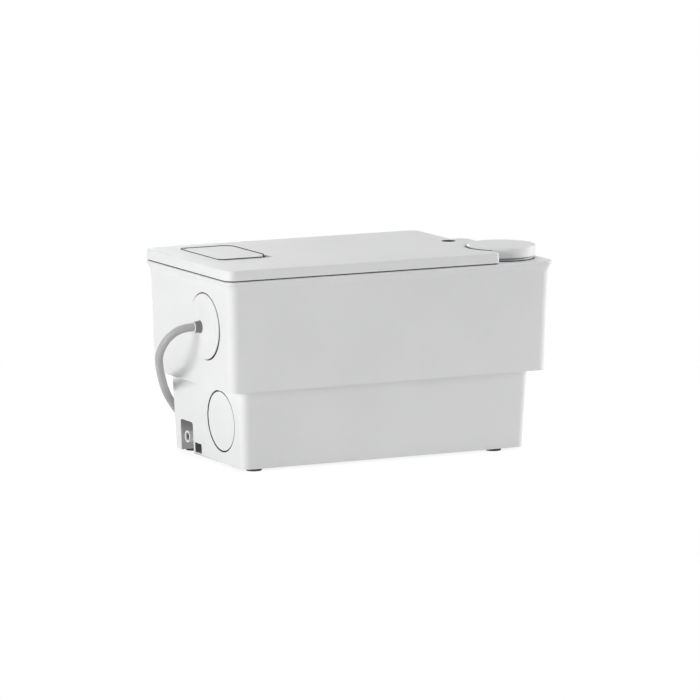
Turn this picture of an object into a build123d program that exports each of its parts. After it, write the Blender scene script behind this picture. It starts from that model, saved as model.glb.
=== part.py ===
"""Compact lifting unit for domestic waste water: a two-tier plastic tank with pump, motor and lid.

Units are millimetres. +X runs along the tank (the cable end is at -X), +Y points to the back, +Z is up,
and the origin is the middle of the tank's footprint, on the floor.
"""
import os
from math import atan2, ceil, cos, degrees, hypot, pi, radians, sin, sqrt, tan

from build123d import *

os.makedirs("parts", exist_ok=True)


def save(builder, name):
    """Label a finished piece and write it as its own file."""
    builder.part.label = name
    export_step(builder.part, f"parts/{name}.step")


# Body of the unit
rim_length = 399.0
rim_width = 213.0
rim_corner = 11.5
foot_height = 3.0
lower_height = 86.0
tank_wall = 3.2
floor_thickness = 3.5
lower_corner = 10.0
step_end = 23.1            # from the rim to the lower tier's top, at the ends
step_side = 16.0           # the same at the front and back
lower_draft = 3.8
upper_height = 118.5       # from the step to the underside of the cover frame
upper_inset = 6.5          # from the rim to the foot of the upper tier
cove_inset = 3.3           # from the rim to the crease below it
cove_height = 10.0
frame_thickness = 3.0

z_floor = foot_height
z_step = z_floor + lower_height
z_frame = z_step + upper_height
z_rim = z_frame + frame_thickness
z_crease = z_frame - cove_height

# Lid, seal and hatch
seam = 1.4
lid_height = 11.3
lid_wall = 3.0
lid_top_wall = 3.0
lid_edge = 1.5
lid_right = rim_length / 2 - 62.5      # right edge of the lid
tongue_right = lid_right - 6.0         # right end of the strip in front of the cap
tongue_corner = 5.5
z_lid = z_rim + seam
z_lid_top = z_lid + lid_height

hatch_length = 62.0
hatch_width = 105.0
hatch_left = -rim_length / 2 + 31.5
hatch_front = -rim_width / 2 + 83.0
hatch_corner = 11.0
hatch_thickness = 3.6
hatch_gap = 1.0
finger_x = 12.5            # cut corner of the hatch, along X
finger_y = 23.0            # the same, along Y
finger_depth = 8.0
hinge_in = 5.5             # hinge axis, in from the hatch's left edge
hinge_down = 1.45          # and below the lid's top
hinge_barrel_radius = 1.35
hinge_pin_radius = 0.7
hinge_pin_length = 12.0
hinge_pin_grip = 2.5       # how far each pin sits in the lid
running_clearance = 0.06
well_wall = 3.0            # wall round the hatch's well
ledge_thickness = 1.3      # ledge at the foot of the well
ledge_width = 4.0
rest_width = 4.0           # strip at the right on which the hatch rests
notch_clearance = 0.6
screw_x = lid_right - 11.0             # the screw that holds the lid
screw_y = 6.5
screw_recess_radius = 8.0
screw_recess_depth = 5.0
lid_screw_radius = 2.4
lid_hook_y = rim_width / 2 - 46.5

# Outlet cap and its fitting
cap_x = rim_length / 2 - 41.5
cap_y = -rim_width / 2 + 49.0
cap_radius = 37.7
cap_height = 11.5
cap_wall = 2.5
cap_rise = 3.6             # open gap between deck and cap
cap_gap = 2.6              # between the cap and the lid's round cut-out
collar_radius = 35.5
collar_height = 3.0

# Ports on the ends
port_y = -rim_width / 2 + 69.4
port_z = z_floor + 46.5
port_radius = 34.0
port_gap = 1.4
port_depth = 5.0
pipe_radius = 20.1         # socket for a 40 mm waste pipe
cable_y = port_y - 3.2
cable_z = z_floor + 152.0
disc_radius = 35.8
disc_proud = 1.8
disc_gap = 1.2

# Drain niche with hose nozzle, and slots for floor brackets
niche_y = rim_width / 2 - 55.5
niche_width = 31.0
niche_height = 34.5
niche_depth = 24.0
nozzle_z = z_floor + 16.4
nozzle_radius = 6.5
nozzle_bore = 4.5
slot_y = rim_width / 2 - 83.0
slot_width = 16.5
slot_height = 10.6
slot_lift = 2.6
slot_depth = 14.0
nozzle_y = niche_y + 2.0
nozzle_inset = 1.0
disc_seat_depth = 2.4

# Feet
foot_radius = 8.75
foot_spigot_radius = 5.0
foot_spigot_height = 2.0
foot_left = -rim_length / 2 + 45.5
foot_right = rim_length / 2 - 60.5
foot_y = rim_width / 2 - 31.0

# Cover frame
frame_left = -rim_length / 2 + 14.5    # its opening under the lid
frame_right = lid_right - 42.0
frame_half_width = rim_width / 2 - 14.5
frame_edge = 1.2

# Sump deck inside
deck_thickness = 3.0
deck_seal_thickness = 1.5
deck_slack = 0.6

slip = 0.3                 # clearance between loose pieces
screw_slip = 0.1           # clearance round a screw's shank
z_deck_floor = z_step + tank_wall + deck_seal_thickness
z_deck = z_deck_floor + deck_thickness

# Motor and pump, on one vertical axis
motor_x = 30.0
motor_y = -12.0
motor_radius = 50.0
motor_wall = 6.0
motor_height = 83.0
motor_cover_thickness = 6.0
flange_radius = 58.0
flange_thickness = 5.0
flange_screw_circle = 54.0
cover_screw_circle = 47.0
stator_bore = 30.0
stator_height = 42.0
air_gap = 0.6
shaft_radius = 6.0
bearing_radius = 16.0
bearing_height = 9.0
volute_radius = 50.0
volute_chamber_radius = 44.0
volute_chamber_height = 30.0
volute_drop = 41.7         # from the deck's underside to the volute's foot
impeller_radius = 38.0
impeller_plate = 3.0
vane_height = 12.0
vane_count = 6
hub_radius = 11.0
suction_radius = 17.0
strainer_radius = 40.0
strainer_lift = 8.0        # from the tank's floor to the strainer's foot
strainer_slots = 16

# Pressure side: pipe, check valve, hose and the fitting in the deck
pipe_outer = 13.0
pipe_bore = 10.0
valve_x = rim_length / 2 - 49.5
pipe_bend = 18.0
socket_outer = 15.6
valve_radius = 21.0
valve_height = 39.3
valve_chamber = 16.5
ball_radius = 13.0
ball_seat = 10.5
seat_lift = 10.3           # from the valve's foot to its seat
hose_wall = 3.3
hose_bend = 22.0
hose_z = 174.0
clamp_width = 9.0
clamp_thickness = 1.4
socket_bore = 16.1         # for the 32 mm pressure pipe
socket_depth = 28.0
fitting_radius = 21.5
fitting_foot = 159.0
spigot_reach = 43.5        # from the fitting's axis to the spigot's tip

# Float and its switch
float_x = -70.0
float_y = 35.0
float_radius = 22.0
float_height = 26.0
float_bottom = 17.0
rod_radius = 2.5
switch_lift = 54.0         # from the deck to the switch's foot

# Control box
box_length = 80.0
box_width = 55.0
box_height = 50.0
box_x = -rim_length / 2 + 94.5
box_y = -rim_width / 2 + 49.0
box_wall = 2.5
box_lid_thickness = 3.3

# Filter under the hatch
tray_wall = 2.0
tray_flange = 0.9
tray_bottom = 170.0
tray_margin = 4.4          # from the well's opening to the tray's wall

# Mains cord
cord_radius = 4.4
gland_x = -rim_length / 2 - 9.7        # where the cord leaves its sleeve
sleeve_radius = 6.6
nut_front = -rim_length / 2 - 1.6
coil_x = 17.0
coil_y = rim_width / 2 + 74.0
coil_radius = 58.0
coil_pitch = 9.6           # radial step per turn
coil_layer = 9.3           # vertical step between the layers
cord_straight = 10.0
plug_radius = 18.5
plug_length = 46.0
pin_radius = 2.4
pin_length = 19.0
pin_spacing = 19.0


def outline(z, length, width, corner):
    """A rounded rectangle at height z."""
    with BuildSketch(Plane.XY.offset(z)) as section:
        RectangleRounded(length, width, corner)
    return section.sketch


def wall_inset(z):
    """How far the upper tier's outside lies inside the rim, at height z."""
    if z <= z_crease:
        share = (z - z_step) / (z_crease - z_step)
        return upper_inset + (cove_inset - upper_inset) * share
    return cove_inset * (1 - ((z - z_crease) / cove_height) ** 2)


def lower_half_length(z):
    """Half length of the lower tier's outside at height z."""
    return rim_length / 2 - step_end - lower_draft * (z_step - z) / lower_height


def upper_half_length(z):
    return rim_length / 2 - wall_inset(z)


lower_top_length = rim_length - 2 * step_end
lower_top_width = rim_width - 2 * step_side
lower_bottom_length = lower_top_length - 2 * lower_draft
lower_bottom_width = lower_top_width - 2 * lower_draft
upper_foot_length = rim_length - 2 * upper_inset
upper_foot_width = rim_width - 2 * upper_inset
crease_length = rim_length - 2 * cove_inset
crease_width = rim_width - 2 * cove_inset
z_ledge = z_step + tank_wall
lower_tilt = degrees(atan2(lower_draft, lower_height))

frame_screw_radius = 2.0
frame_boss_radius = 4.5
frame_boss_depth = 24.0
frame_screw_y = rim_width / 2 - 10.5
first_screw_x = -rim_length / 2 + 49.5
last_screw_x = lid_right - 77.0
frame_screw_places = [(x, side * frame_screw_y)
                      for x in (first_screw_x, (first_screw_x + last_screw_x) / 2, last_screw_x)
                      for side in (-1, 1)]
deck_screw_radius = 2.0
deck_boss_radius = 5.5
deck_boss_depth = 14.0
deck_screw_places = [(x, side * (lower_top_width / 2 - tank_wall - 3.5))
                     for x in (first_screw_x, -10.0, rim_length / 2 - 74.5) for side in (-1, 1)]
foot_places = [(x, side * foot_y) for x in (foot_left, foot_right) for side in (-1, 1)]
port_boss_wall = 3.5
port_boss_depth = 16.0
cable_hole_radius = 27.0
cable_boss_depth = 4.0
niche_wall = 2.5
niche_back = lower_half_length(z_floor) - niche_depth
nozzle_tip = lower_half_length(nozzle_z) - nozzle_inset


def along_x(x, y, z):
    """A place whose own Z axis points along +X."""
    return Location((x, y, z), (0, 90, 0))


def at(places, z):
    """Places in plan, lifted to height z."""
    return [(x, y, z) for x, y in places]


UP = (Align.CENTER, Align.CENTER, Align.MIN)
DOWN = (Align.CENTER, Align.CENTER, Align.MAX)

# The tank's hollow, less what is moulded onto its walls
with BuildPart() as hollow:
    loft([
        outline(z_floor + floor_thickness, lower_bottom_length - 2 * tank_wall,
                lower_bottom_width - 2 * tank_wall, lower_corner - tank_wall),
        outline(z_ledge, lower_top_length - 2 * tank_wall, lower_top_width - 2 * tank_wall,
                lower_corner - tank_wall),
    ], ruled=True)
    loft([
        outline(z_ledge, upper_foot_length - 2 * tank_wall, upper_foot_width - 2 * tank_wall,
                rim_corner - tank_wall),
        outline(z_frame, crease_length - 2 * tank_wall, crease_width - 2 * tank_wall,
                rim_corner - tank_wall),
    ], ruled=True)
    for side in (-1, 1):
        boss_end = lower_half_length(port_z) - port_boss_depth
        with Locations(along_x(side * (boss_end + rim_length / 2), port_y, port_z)):
            Cylinder(port_radius + port_boss_wall, rim_length, mode=Mode.SUBTRACT)
        with Locations((side * (lower_half_length(z_floor) - slot_depth - niche_wall), slot_y, z_floor)):
            Box(rim_length, slot_width + 2 * niche_wall, slot_lift + slot_height + niche_wall,
                align=(Align.MIN if side > 0 else Align.MAX, Align.CENTER, Align.MIN), mode=Mode.SUBTRACT)
    with Locations((-niche_back + niche_wall, niche_y, z_floor)):
        Box(rim_length, niche_width + 2 * niche_wall, niche_height + niche_wall,
            align=(Align.MAX, Align.CENTER, Align.MIN), mode=Mode.SUBTRACT)
    with Locations(along_x(-upper_half_length(cable_z) + tank_wall + cable_boss_depth - rim_length / 2,
                           cable_y, cable_z)):
        Cylinder(disc_radius + disc_gap + port_boss_wall, rim_length, mode=Mode.SUBTRACT)
    with Locations(at(frame_screw_places, z_frame)):
        Cylinder(frame_boss_radius, frame_boss_depth, align=DOWN, mode=Mode.SUBTRACT)
    with Locations(at(deck_screw_places, z_ledge)):
        Cylinder(deck_boss_radius, deck_boss_depth, align=DOWN, mode=Mode.SUBTRACT)

cove_steps = 5
with BuildPart() as tank:
    loft([
        outline(z_floor, lower_bottom_length, lower_bottom_width, lower_corner),
        outline(z_step, lower_top_length, lower_top_width, lower_corner),
    ], ruled=True)
    loft([
        outline(z_step, upper_foot_length, upper_foot_width, rim_corner),
        outline(z_crease, crease_length, crease_width, rim_corner),
    ], ruled=True)
    cove = []
    for step in range(cove_steps + 1):
        z = z_crease + cove_height * step / cove_steps
        cove.append(outline(z, rim_length - 2 * wall_inset(z), rim_width - 2 * wall_inset(z), rim_corner))
    loft(cove, ruled=True)
    add(hollow.part, mode=Mode.SUBTRACT)
    # ports at the foot of both ends: a pocket for a head, then the bore; and the bracket slots
    for side in (-1, 1):
        pocket = lower_half_length(port_z) - port_depth
        with Locations(along_x(side * (pocket + rim_length / 2), port_y, port_z)):
            Cylinder(port_radius, rim_length, mode=Mode.SUBTRACT)
        with Locations(along_x(side * rim_length / 2, port_y, port_z)):
            Cylinder(port_radius - port_boss_wall, rim_length / 2, mode=Mode.SUBTRACT)
        with Locations((side * (lower_half_length(z_floor) - slot_depth), slot_y, z_floor + slot_lift)):
            Box(rim_length, slot_width, slot_height,
                align=(Align.MIN if side > 0 else Align.MAX, Align.CENTER, Align.MIN), mode=Mode.SUBTRACT)
    # the cable entry: a shallow seat for its round cover, with a hole in the middle
    seat = upper_half_length(cable_z) - disc_seat_depth
    with Locations(along_x(-seat - rim_length / 2, cable_y, cable_z)):
        Cylinder(disc_radius + disc_gap, rim_length, mode=Mode.SUBTRACT)
    with Locations(along_x(-rim_length / 2, cable_y, cable_z)):
        Cylinder(cable_hole_radius, rim_length / 4, mode=Mode.SUBTRACT)
    # the drain niche and its nozzle
    with Locations((-niche_back, niche_y, z_floor)):
        Box(rim_length, niche_width, niche_height, align=(Align.MAX, Align.CENTER, Align.MIN),
            mode=Mode.SUBTRACT)
    nozzle_length = nozzle_tip - niche_back + niche_wall
    with Locations(along_x(-nozzle_tip + nozzle_length / 2, nozzle_y, nozzle_z)):
        Cylinder(nozzle_radius, nozzle_length)
        Cylinder(nozzle_bore, nozzle_length + 2, mode=Mode.SUBTRACT)
    # blind holes for the screws and the feet
    with Locations(at(frame_screw_places, z_frame)):
        Cylinder(frame_screw_radius + screw_slip, frame_boss_depth - 4, align=DOWN, mode=Mode.SUBTRACT)
    with Locations(at(deck_screw_places, z_ledge)):
        Cylinder(deck_screw_radius + screw_slip, deck_boss_depth - 3, align=DOWN, mode=Mode.SUBTRACT)
    with Locations(at(foot_places, z_floor)):
        Cylinder(foot_spigot_radius + slip, foot_spigot_height + slip, align=UP, mode=Mode.SUBTRACT)
save(tank, "tank")

with BuildPart() as feet:
    with Locations(at(foot_places, z_floor)):
        Cylinder(foot_radius, foot_height, align=DOWN)
        Cylinder(foot_spigot_radius, foot_spigot_height, align=UP)
save(feet, "feet")

# Cover frame: the deck at the rim, open under the lid
groove_inset = 2.2
groove_width = 2.5
groove_depth = 1.5
seal_slack = 0.1
lid_boss_radius = 6.0
lid_boss_depth = 12.0
screw_head_radius = 3.6
screw_head_height = 2.4


def ring(builder_plane, length, width, corner, thickness):
    """A band of the given thickness just inside a rounded rectangle."""
    with BuildSketch(builder_plane) as band:
        RectangleRounded(length, width, corner)
        RectangleRounded(length - 2 * thickness, width - 2 * thickness, corner - thickness,
                         mode=Mode.SUBTRACT)
    return band.sketch


with BuildPart() as cover_frame:
    with BuildSketch(Plane.XY.offset(z_frame)):
        RectangleRounded(rim_length, rim_width, rim_corner)
    extrude(amount=frame_thickness)
    fillet(cover_frame.faces().sort_by(Axis.Z)[-1].edges(), frame_edge)
    with Locations((screw_x, screw_y, z_frame)):
        Cylinder(lid_boss_radius, lid_boss_depth, align=DOWN)
        Cylinder(lid_screw_radius + screw_slip, 3 * lid_boss_depth, mode=Mode.SUBTRACT)
    with Locations(((frame_left + frame_right) / 2, 0, z_frame)):
        Box(frame_right - frame_left, 2 * frame_half_width, 2 * frame_thickness, mode=Mode.SUBTRACT)
    with Locations((cap_x, cap_y, z_frame)):
        Cylinder(fitting_radius + slip, 3 * frame_thickness, mode=Mode.SUBTRACT)
    with Locations(at(frame_screw_places, z_frame)):
        Cylinder(frame_screw_radius + screw_slip, 3 * frame_thickness, mode=Mode.SUBTRACT)
    with BuildSketch(Plane.XY.offset(z_frame)):
        add(ring(Plane.XY.offset(z_frame), rim_length - 2 * groove_inset, rim_width - 2 * groove_inset,
                 rim_corner - groove_inset, groove_width))
    extrude(amount=groove_depth, mode=Mode.SUBTRACT)
save(cover_frame, "cover_frame")

with BuildPart() as frame_seal:
    add(ring(Plane.XY.offset(z_frame), rim_length - 2 * groove_inset - 2 * seal_slack,
             rim_width - 2 * groove_inset - 2 * seal_slack, rim_corner - groove_inset - seal_slack,
             groove_width - 2 * seal_slack))
    extrude(amount=groove_depth - seal_slack)
save(frame_seal, "frame_seal")

frame_screw_length = 14.0
with BuildPart() as frame_screws:
    with Locations(at(frame_screw_places, z_rim)):
        Cylinder(screw_head_radius, screw_head_height / 2, align=UP)
        Cylinder(frame_screw_radius, frame_screw_length + frame_thickness, align=DOWN)
save(frame_screws, "frame_screws")


def lid_outline(z, inset):
    """The lid seen from above, with its round cut-out at the cap, drawn in by the inset."""
    left = -rim_length / 2 + inset
    with BuildSketch(Plane.XY.offset(z)) as plan:
        with Locations(((left + lid_right - inset) / 2, 0)):
            Rectangle(lid_right - inset - left, rim_width - 2 * inset)
        with Locations((lid_right, cap_y)):
            Rectangle(2 * (lid_right - tongue_right + inset), rim_width, align=(Align.CENTER, Align.MAX),
                      mode=Mode.SUBTRACT)
        with Locations((cap_x, cap_y)):
            Circle(cap_radius + cap_gap + inset, mode=Mode.SUBTRACT)
        fillet(plan.vertices().group_by(Axis.X)[0], rim_corner - inset)
        fillet(plan.vertices().group_by(Axis.X)[-1].sort_by(Axis.Y)[-1], rim_corner - inset)
        fillet(plan.vertices().group_by(Axis.Y)[0].sort_by(Axis.X)[-1], tongue_corner - inset)
    return plan.sketch


hatch_x = hatch_left + hatch_length / 2
hatch_y = hatch_front + hatch_width / 2
hatch_right = hatch_left + hatch_length
hatch_back = hatch_front + hatch_width
z_hatch = z_lid_top - hatch_thickness
z_hinge = z_lid_top - hinge_down
hinge_x = hatch_left + hinge_in
finger_diagonal = hypot(finger_x, finger_y)
finger_reach = finger_x * finger_y / finger_diagonal
finger_scale = 1 + (hatch_gap * (finger_x + finger_y) / finger_diagonal - notch_clearance) / finger_reach
seal_inset = 1.6
lid_seal_width = 3.2
hook_thickness = 3.0
hook_width = 14.0
hook_foot = 4.0
screw_boss_radius = 10.5


def well(z, grow):
    """The hatch's opening seen from above, grown all round, with its square corner by the notch."""
    with BuildSketch(Plane.XY.offset(z)) as plan:
        with Locations((hatch_x, hatch_y)):
            Rectangle(hatch_length + 2 * grow, hatch_width + 2 * grow)
        corners = plan.vertices().sort_by_distance((hatch_right + grow, hatch_front - grow))[1:]
        fillet(corners, hatch_corner + grow)
    return plan.sketch


# The sloping floor of the finger notch, at the square corner of the well
notch_x = hatch_right + hatch_gap
notch_y = hatch_front - hatch_gap
with BuildPart() as notch_floor:
    with BuildSketch(Plane.XY.offset(z_lid)):
        with BuildLine():
            Polyline((notch_x, notch_y), (notch_x - finger_scale * finger_x, notch_y),
                     (notch_x, notch_y + finger_scale * finger_y), close=True)
        make_face()
    extrude(amount=lid_height)
    with BuildSketch(Plane.YZ.offset(notch_x)):
        with BuildLine():
            Polyline((notch_y - 1, z_lid_top - finger_depth), (notch_y + finger_y + 2, z_lid_top - 1),
                     (notch_y + finger_y + 2, z_lid_top + 1), (notch_y - 1, z_lid_top + 1), close=True)
        make_face()
    extrude(amount=-2 * finger_x, mode=Mode.SUBTRACT)

with BuildPart() as lid:
    add(lid_outline(z_lid, 0))
    extrude(amount=lid_height)
    fillet(lid.faces().sort_by(Axis.Z)[-1].outer_wire().edges(), lid_edge)
    add(lid_outline(z_lid, lid_wall))
    extrude(amount=lid_height - lid_top_wall, mode=Mode.SUBTRACT)
    # the hatch's well with its ledge, the strip under the hatch and the notch's floor
    add(well(z_lid, hatch_gap + well_wall))
    extrude(amount=lid_height)
    add(well(z_lid + ledge_thickness, hatch_gap))
    extrude(amount=lid_height, mode=Mode.SUBTRACT)
    add(well(z_lid, hatch_gap - ledge_width))
    extrude(amount=lid_height, mode=Mode.SUBTRACT)
    with Locations((hatch_right + hatch_gap, hatch_front + finger_y + 4, z_lid)):
        Box(rest_width + hatch_gap, hatch_width - finger_y - 4 - hatch_corner,
            z_hatch - slip - z_lid, align=(Align.MAX, Align.MIN, Align.MIN))
    add(notch_floor.part)
    # the counterbored boss for the screw
    with Locations((screw_x, screw_y, z_lid)):
        Cylinder(screw_boss_radius, lid_height - lid_top_wall / 2, align=UP)
        Cylinder(lid_screw_radius + screw_slip, lid_height, align=UP, mode=Mode.SUBTRACT)
    with Locations((screw_x, screw_y, z_lid_top - screw_recess_depth)):
        Cylinder(screw_recess_radius, lid_height, align=UP, mode=Mode.SUBTRACT)
    # hooks that reach under the frame at the left
    for side in (-1, 1):
        with Locations((frame_left + slip, side * lid_hook_y, z_frame - slip - hook_thickness)):
            Box(hook_thickness, hook_width, z_lid_top - lid_top_wall - z_frame + slip + hook_thickness,
                align=(Align.MIN, Align.CENTER, Align.MIN))
            Box(hook_foot, hook_width, hook_thickness, align=(Align.MAX, Align.CENTER, Align.MIN))
    # holes for the hinge pins, open towards the well
    with Locations(Location((hinge_x, notch_y - hinge_pin_grip, z_hinge), (-90, 0, 0)),
                   Location((hinge_x, hatch_back + hatch_gap + hinge_pin_grip, z_hinge), (90, 0, 0))):
        Cylinder(hinge_pin_radius, hinge_pin_length, align=UP, mode=Mode.SUBTRACT)
save(lid, "lid")

with BuildPart() as lid_seal:
    add(lid_outline(z_rim, seal_inset))
    extrude(amount=seam)
    add(lid_outline(z_rim, seal_inset + lid_seal_width))
    extrude(amount=seam, mode=Mode.SUBTRACT)
save(lid_seal, "lid_seal")

lid_screw_length = 24.0
screw_slot_width = 1.2
screw_slot_depth = 1.4
with BuildPart() as lid_screw:
    with Locations((screw_x, screw_y, z_lid_top - screw_recess_depth)):
        Cylinder(screw_head_radius + 1.4, 3.2, align=UP)
        Cylinder(lid_screw_radius, lid_screw_length, align=DOWN)
    with Locations((screw_x, screw_y, z_lid_top - screw_recess_depth + 3.2)):
        Box(20, screw_slot_width, 2 * screw_slot_depth, mode=Mode.SUBTRACT)
        Box(screw_slot_width, 20, 2 * screw_slot_depth, mode=Mode.SUBTRACT)
save(lid_screw, "lid_screw")

# Hatch with its barrel, and the two pins that it turns on
hatch_edge = 0.5
barrel_end = 3.0           # from the hatch's edge to the barrel's end
with BuildPart() as hatch:
    with BuildSketch(Plane.XY.offset(z_hatch)) as plan:
        with Locations((hatch_x, hatch_y)):
            Rectangle(hatch_length, hatch_width)
        corners = plan.vertices().sort_by_distance((hatch_right, hatch_front))[1:]
        fillet(corners, hatch_corner)
        with BuildLine():
            Polyline((hatch_right, hatch_front), (hatch_right - finger_x, hatch_front),
                     (hatch_right, hatch_front + finger_y), close=True)
        make_face(mode=Mode.SUBTRACT)
    extrude(amount=hatch_thickness)
    fillet(hatch.faces().sort_by(Axis.Z)[-1].outer_wire().edges(), hatch_edge)
    with Locations(Location((hinge_x, hatch_y, z_hinge), (90, 0, 0))):
        Cylinder(hinge_barrel_radius, hatch_width - 2 * barrel_end)
        Cylinder(hinge_pin_radius + running_clearance, hatch_width, mode=Mode.SUBTRACT)
save(hatch, "hatch")

with BuildPart() as hatch_pins:
    with Locations(Location((hinge_x, notch_y - hinge_pin_grip, z_hinge), (-90, 0, 0)),
                   Location((hinge_x, hatch_back + hatch_gap + hinge_pin_grip, z_hinge), (90, 0, 0))):
        Cylinder(hinge_pin_radius, hinge_pin_length, align=UP)
save(hatch_pins, "hatch_pins")

# Outlet cap, and the fitting that it closes
z_cap = z_rim + cap_rise
z_collar = z_rim + collar_height
cap_edge = 1.5
cap_rest_radius = 27.0     # ring inside the cap that rests on the collar
lip_height = 2.5           # lip on the collar that the ring drops over
lip_wall = 2.5
with BuildPart() as outlet_cap:
    with BuildSketch(Plane.XY.offset(z_cap)):
        with Locations((cap_x, cap_y)):
            Circle(cap_radius)
    extrude(amount=cap_height)
    fillet(outlet_cap.faces().sort_by(Axis.Z)[-1].edges(), cap_edge)
    with BuildSketch(Plane.XY.offset(z_cap)):
        with Locations((cap_x, cap_y)):
            Circle(cap_radius - cap_wall)
    extrude(amount=cap_height - cap_wall, mode=Mode.SUBTRACT)
    # the ring that rests on the collar, round its lip
    with BuildSketch(Plane.XY.offset(z_collar + slip)):
        with Locations((cap_x, cap_y)):
            Circle(cap_rest_radius)
            Circle(cap_rest_radius - cap_wall, mode=Mode.SUBTRACT)
    extrude(amount=z_cap + cap_height - cap_wall - z_collar - slip)
save(outlet_cap, "outlet_cap")

spigot_wall = pipe_outer - pipe_bore
hose_spigot_length = 20.0
bore_foot = 1.5            # the upright bore ends this far below the spigot's bore
with BuildPart() as outlet_fitting:
    with Locations((cap_x, cap_y, fitting_foot)):
        Cylinder(fitting_radius, z_collar - fitting_foot, align=UP)
    with Locations((cap_x, cap_y, z_rim)):
        Cylinder(collar_radius, collar_height, align=UP)
    with BuildSketch(Plane.XY.offset(z_collar)):
        with Locations((cap_x, cap_y)):
            Circle(cap_rest_radius - cap_wall - slip)
            Circle(cap_rest_radius - cap_wall - slip - lip_wall, mode=Mode.SUBTRACT)
    extrude(amount=lip_height)
    with Locations(Location((valve_x, cap_y, hose_z), (-90, 0, 0))):
        Cylinder(pipe_outer, spigot_reach, align=UP)
    with Locations((cap_x, cap_y, z_collar)):
        Cylinder(socket_bore, socket_depth, align=DOWN, mode=Mode.SUBTRACT)
    with Locations((cap_x, cap_y, hose_z - pipe_bore - bore_foot)):
        Cylinder(socket_bore - spigot_wall, z_collar - hose_z, align=UP, mode=Mode.SUBTRACT)
    with Locations(Location((valve_x, cap_y, hose_z), (-90, 0, 0))):
        Cylinder(pipe_bore, spigot_reach + 1, align=UP, mode=Mode.SUBTRACT)
save(outlet_fitting, "outlet_fitting")

# Cable entry on the left end: round cover, its seal, nut and sleeve
face_x = -upper_half_length(cable_z)
disc_seat_x = face_x + disc_seat_depth
disc_seal_thickness = 0.9
disc_back_x = disc_seat_x - disc_seal_thickness
disc_front_x = face_x - disc_proud
hub_radius_foot = 14.0
hub_radius_top = 12.0
hub_front_x = -rim_length / 2 + 0.2
hub_height = disc_front_x - hub_front_x
sleeve_hole = sleeve_radius + slip
with BuildPart() as cable_cover:
    with BuildSketch(Plane.YZ.offset(disc_back_x)):
        with Locations((cable_y, cable_z)):
            Circle(disc_radius)
    extrude(amount=disc_front_x - disc_back_x)
    fillet(cable_cover.faces().sort_by(Axis.X)[0].edges(), 0.8)
    with Locations(Location((disc_front_x, cable_y, cable_z), (0, -90, 0))):
        Cone(hub_radius_foot, hub_radius_top, hub_height, align=UP)
    with Locations(along_x(disc_back_x, cable_y, cable_z)):
        Cylinder(hub_radius_foot, 8.0, align=UP)
        Cylinder(sleeve_hole, rim_length / 4, mode=Mode.SUBTRACT)
save(cable_cover, "cable_cover")

with BuildPart() as cable_cover_seal:
    with BuildSketch(Plane.YZ.offset(disc_back_x)):
        with Locations((cable_y, cable_z)):
            Circle(disc_radius - 2)
            Circle(cable_hole_radius + 1, mode=Mode.SUBTRACT)
    extrude(amount=disc_seal_thickness)
save(cable_cover_seal, "cable_cover_seal")

with BuildPart() as gland_nut:
    with Locations(Location((hub_front_x, cable_y, cable_z), (0, -90, 0))):
        Cone(10.0, 8.2, hub_front_x - nut_front, align=UP)
        Cylinder(sleeve_hole, 20.0, mode=Mode.SUBTRACT)
save(gland_nut, "gland_nut")

sleeve_inner_x = disc_back_x + 12.0
with BuildPart() as strain_relief:
    with BuildSketch(Plane.XZ.offset(-cable_y)):
        with BuildLine():
            Polyline((gland_x, cable_z), (gland_x, cable_z + cord_radius + 0.8),
                     (gland_x + 0.9, cable_z + cord_radius + 0.8), (gland_x + 0.9, cable_z + cord_radius + 0.2),
                     (gland_x + 1.7, cable_z + cord_radius + 0.2),
                     (gland_x + 1.7, cable_z + sleeve_radius), (sleeve_inner_x, cable_z + sleeve_radius),
                     (sleeve_inner_x, cable_z), close=True)
        make_face()
    revolve(axis=Axis((0, cable_y, cable_z), (1, 0, 0)))
save(strain_relief, "strain_relief")

# Lower left port: screwed plug with its rubber ring; the plug's face follows the drafted wall
port_seat_x = -(lower_half_length(port_z) - port_depth)
plug_recess = 0.4
plug_core = 27.0
plug_core_length = 15.0
plug_seal_width = 6.0
port_bore = port_radius - port_boss_wall
with BuildPart() as inlet_plug_left:
    with Locations(along_x(port_seat_x - slip, port_y, port_z)):
        Cylinder(port_radius - port_gap, 2 * port_depth, align=DOWN)
    split(bisect_by=Plane(origin=(-lower_half_length(port_z) + plug_recess, port_y, port_z),
                          z_dir=(cos(radians(lower_tilt)), 0, sin(radians(lower_tilt)))), keep=Keep.TOP)
    with Locations(along_x(port_seat_x - slip, port_y, port_z)):
        Cylinder(port_bore - slip, 3.0, align=UP)
        Cylinder(plug_core, plug_core_length, align=UP)
    with Locations(along_x(port_seat_x + plug_core_length - 3.0, port_y, port_z)):
        Cylinder(port_bore - slip - 1, 2.7, align=UP)
save(inlet_plug_left, "inlet_plug_left")

with BuildPart() as plug_seal_left:
    with BuildSketch(Plane.YZ.offset(port_seat_x + 4.0)):
        with Locations((port_y, port_z)):
            Circle(port_bore - slip)
            Circle(plug_core + seal_slack, mode=Mode.SUBTRACT)
    extrude(amount=plug_seal_width)
save(plug_seal_left, "plug_seal_left")

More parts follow.
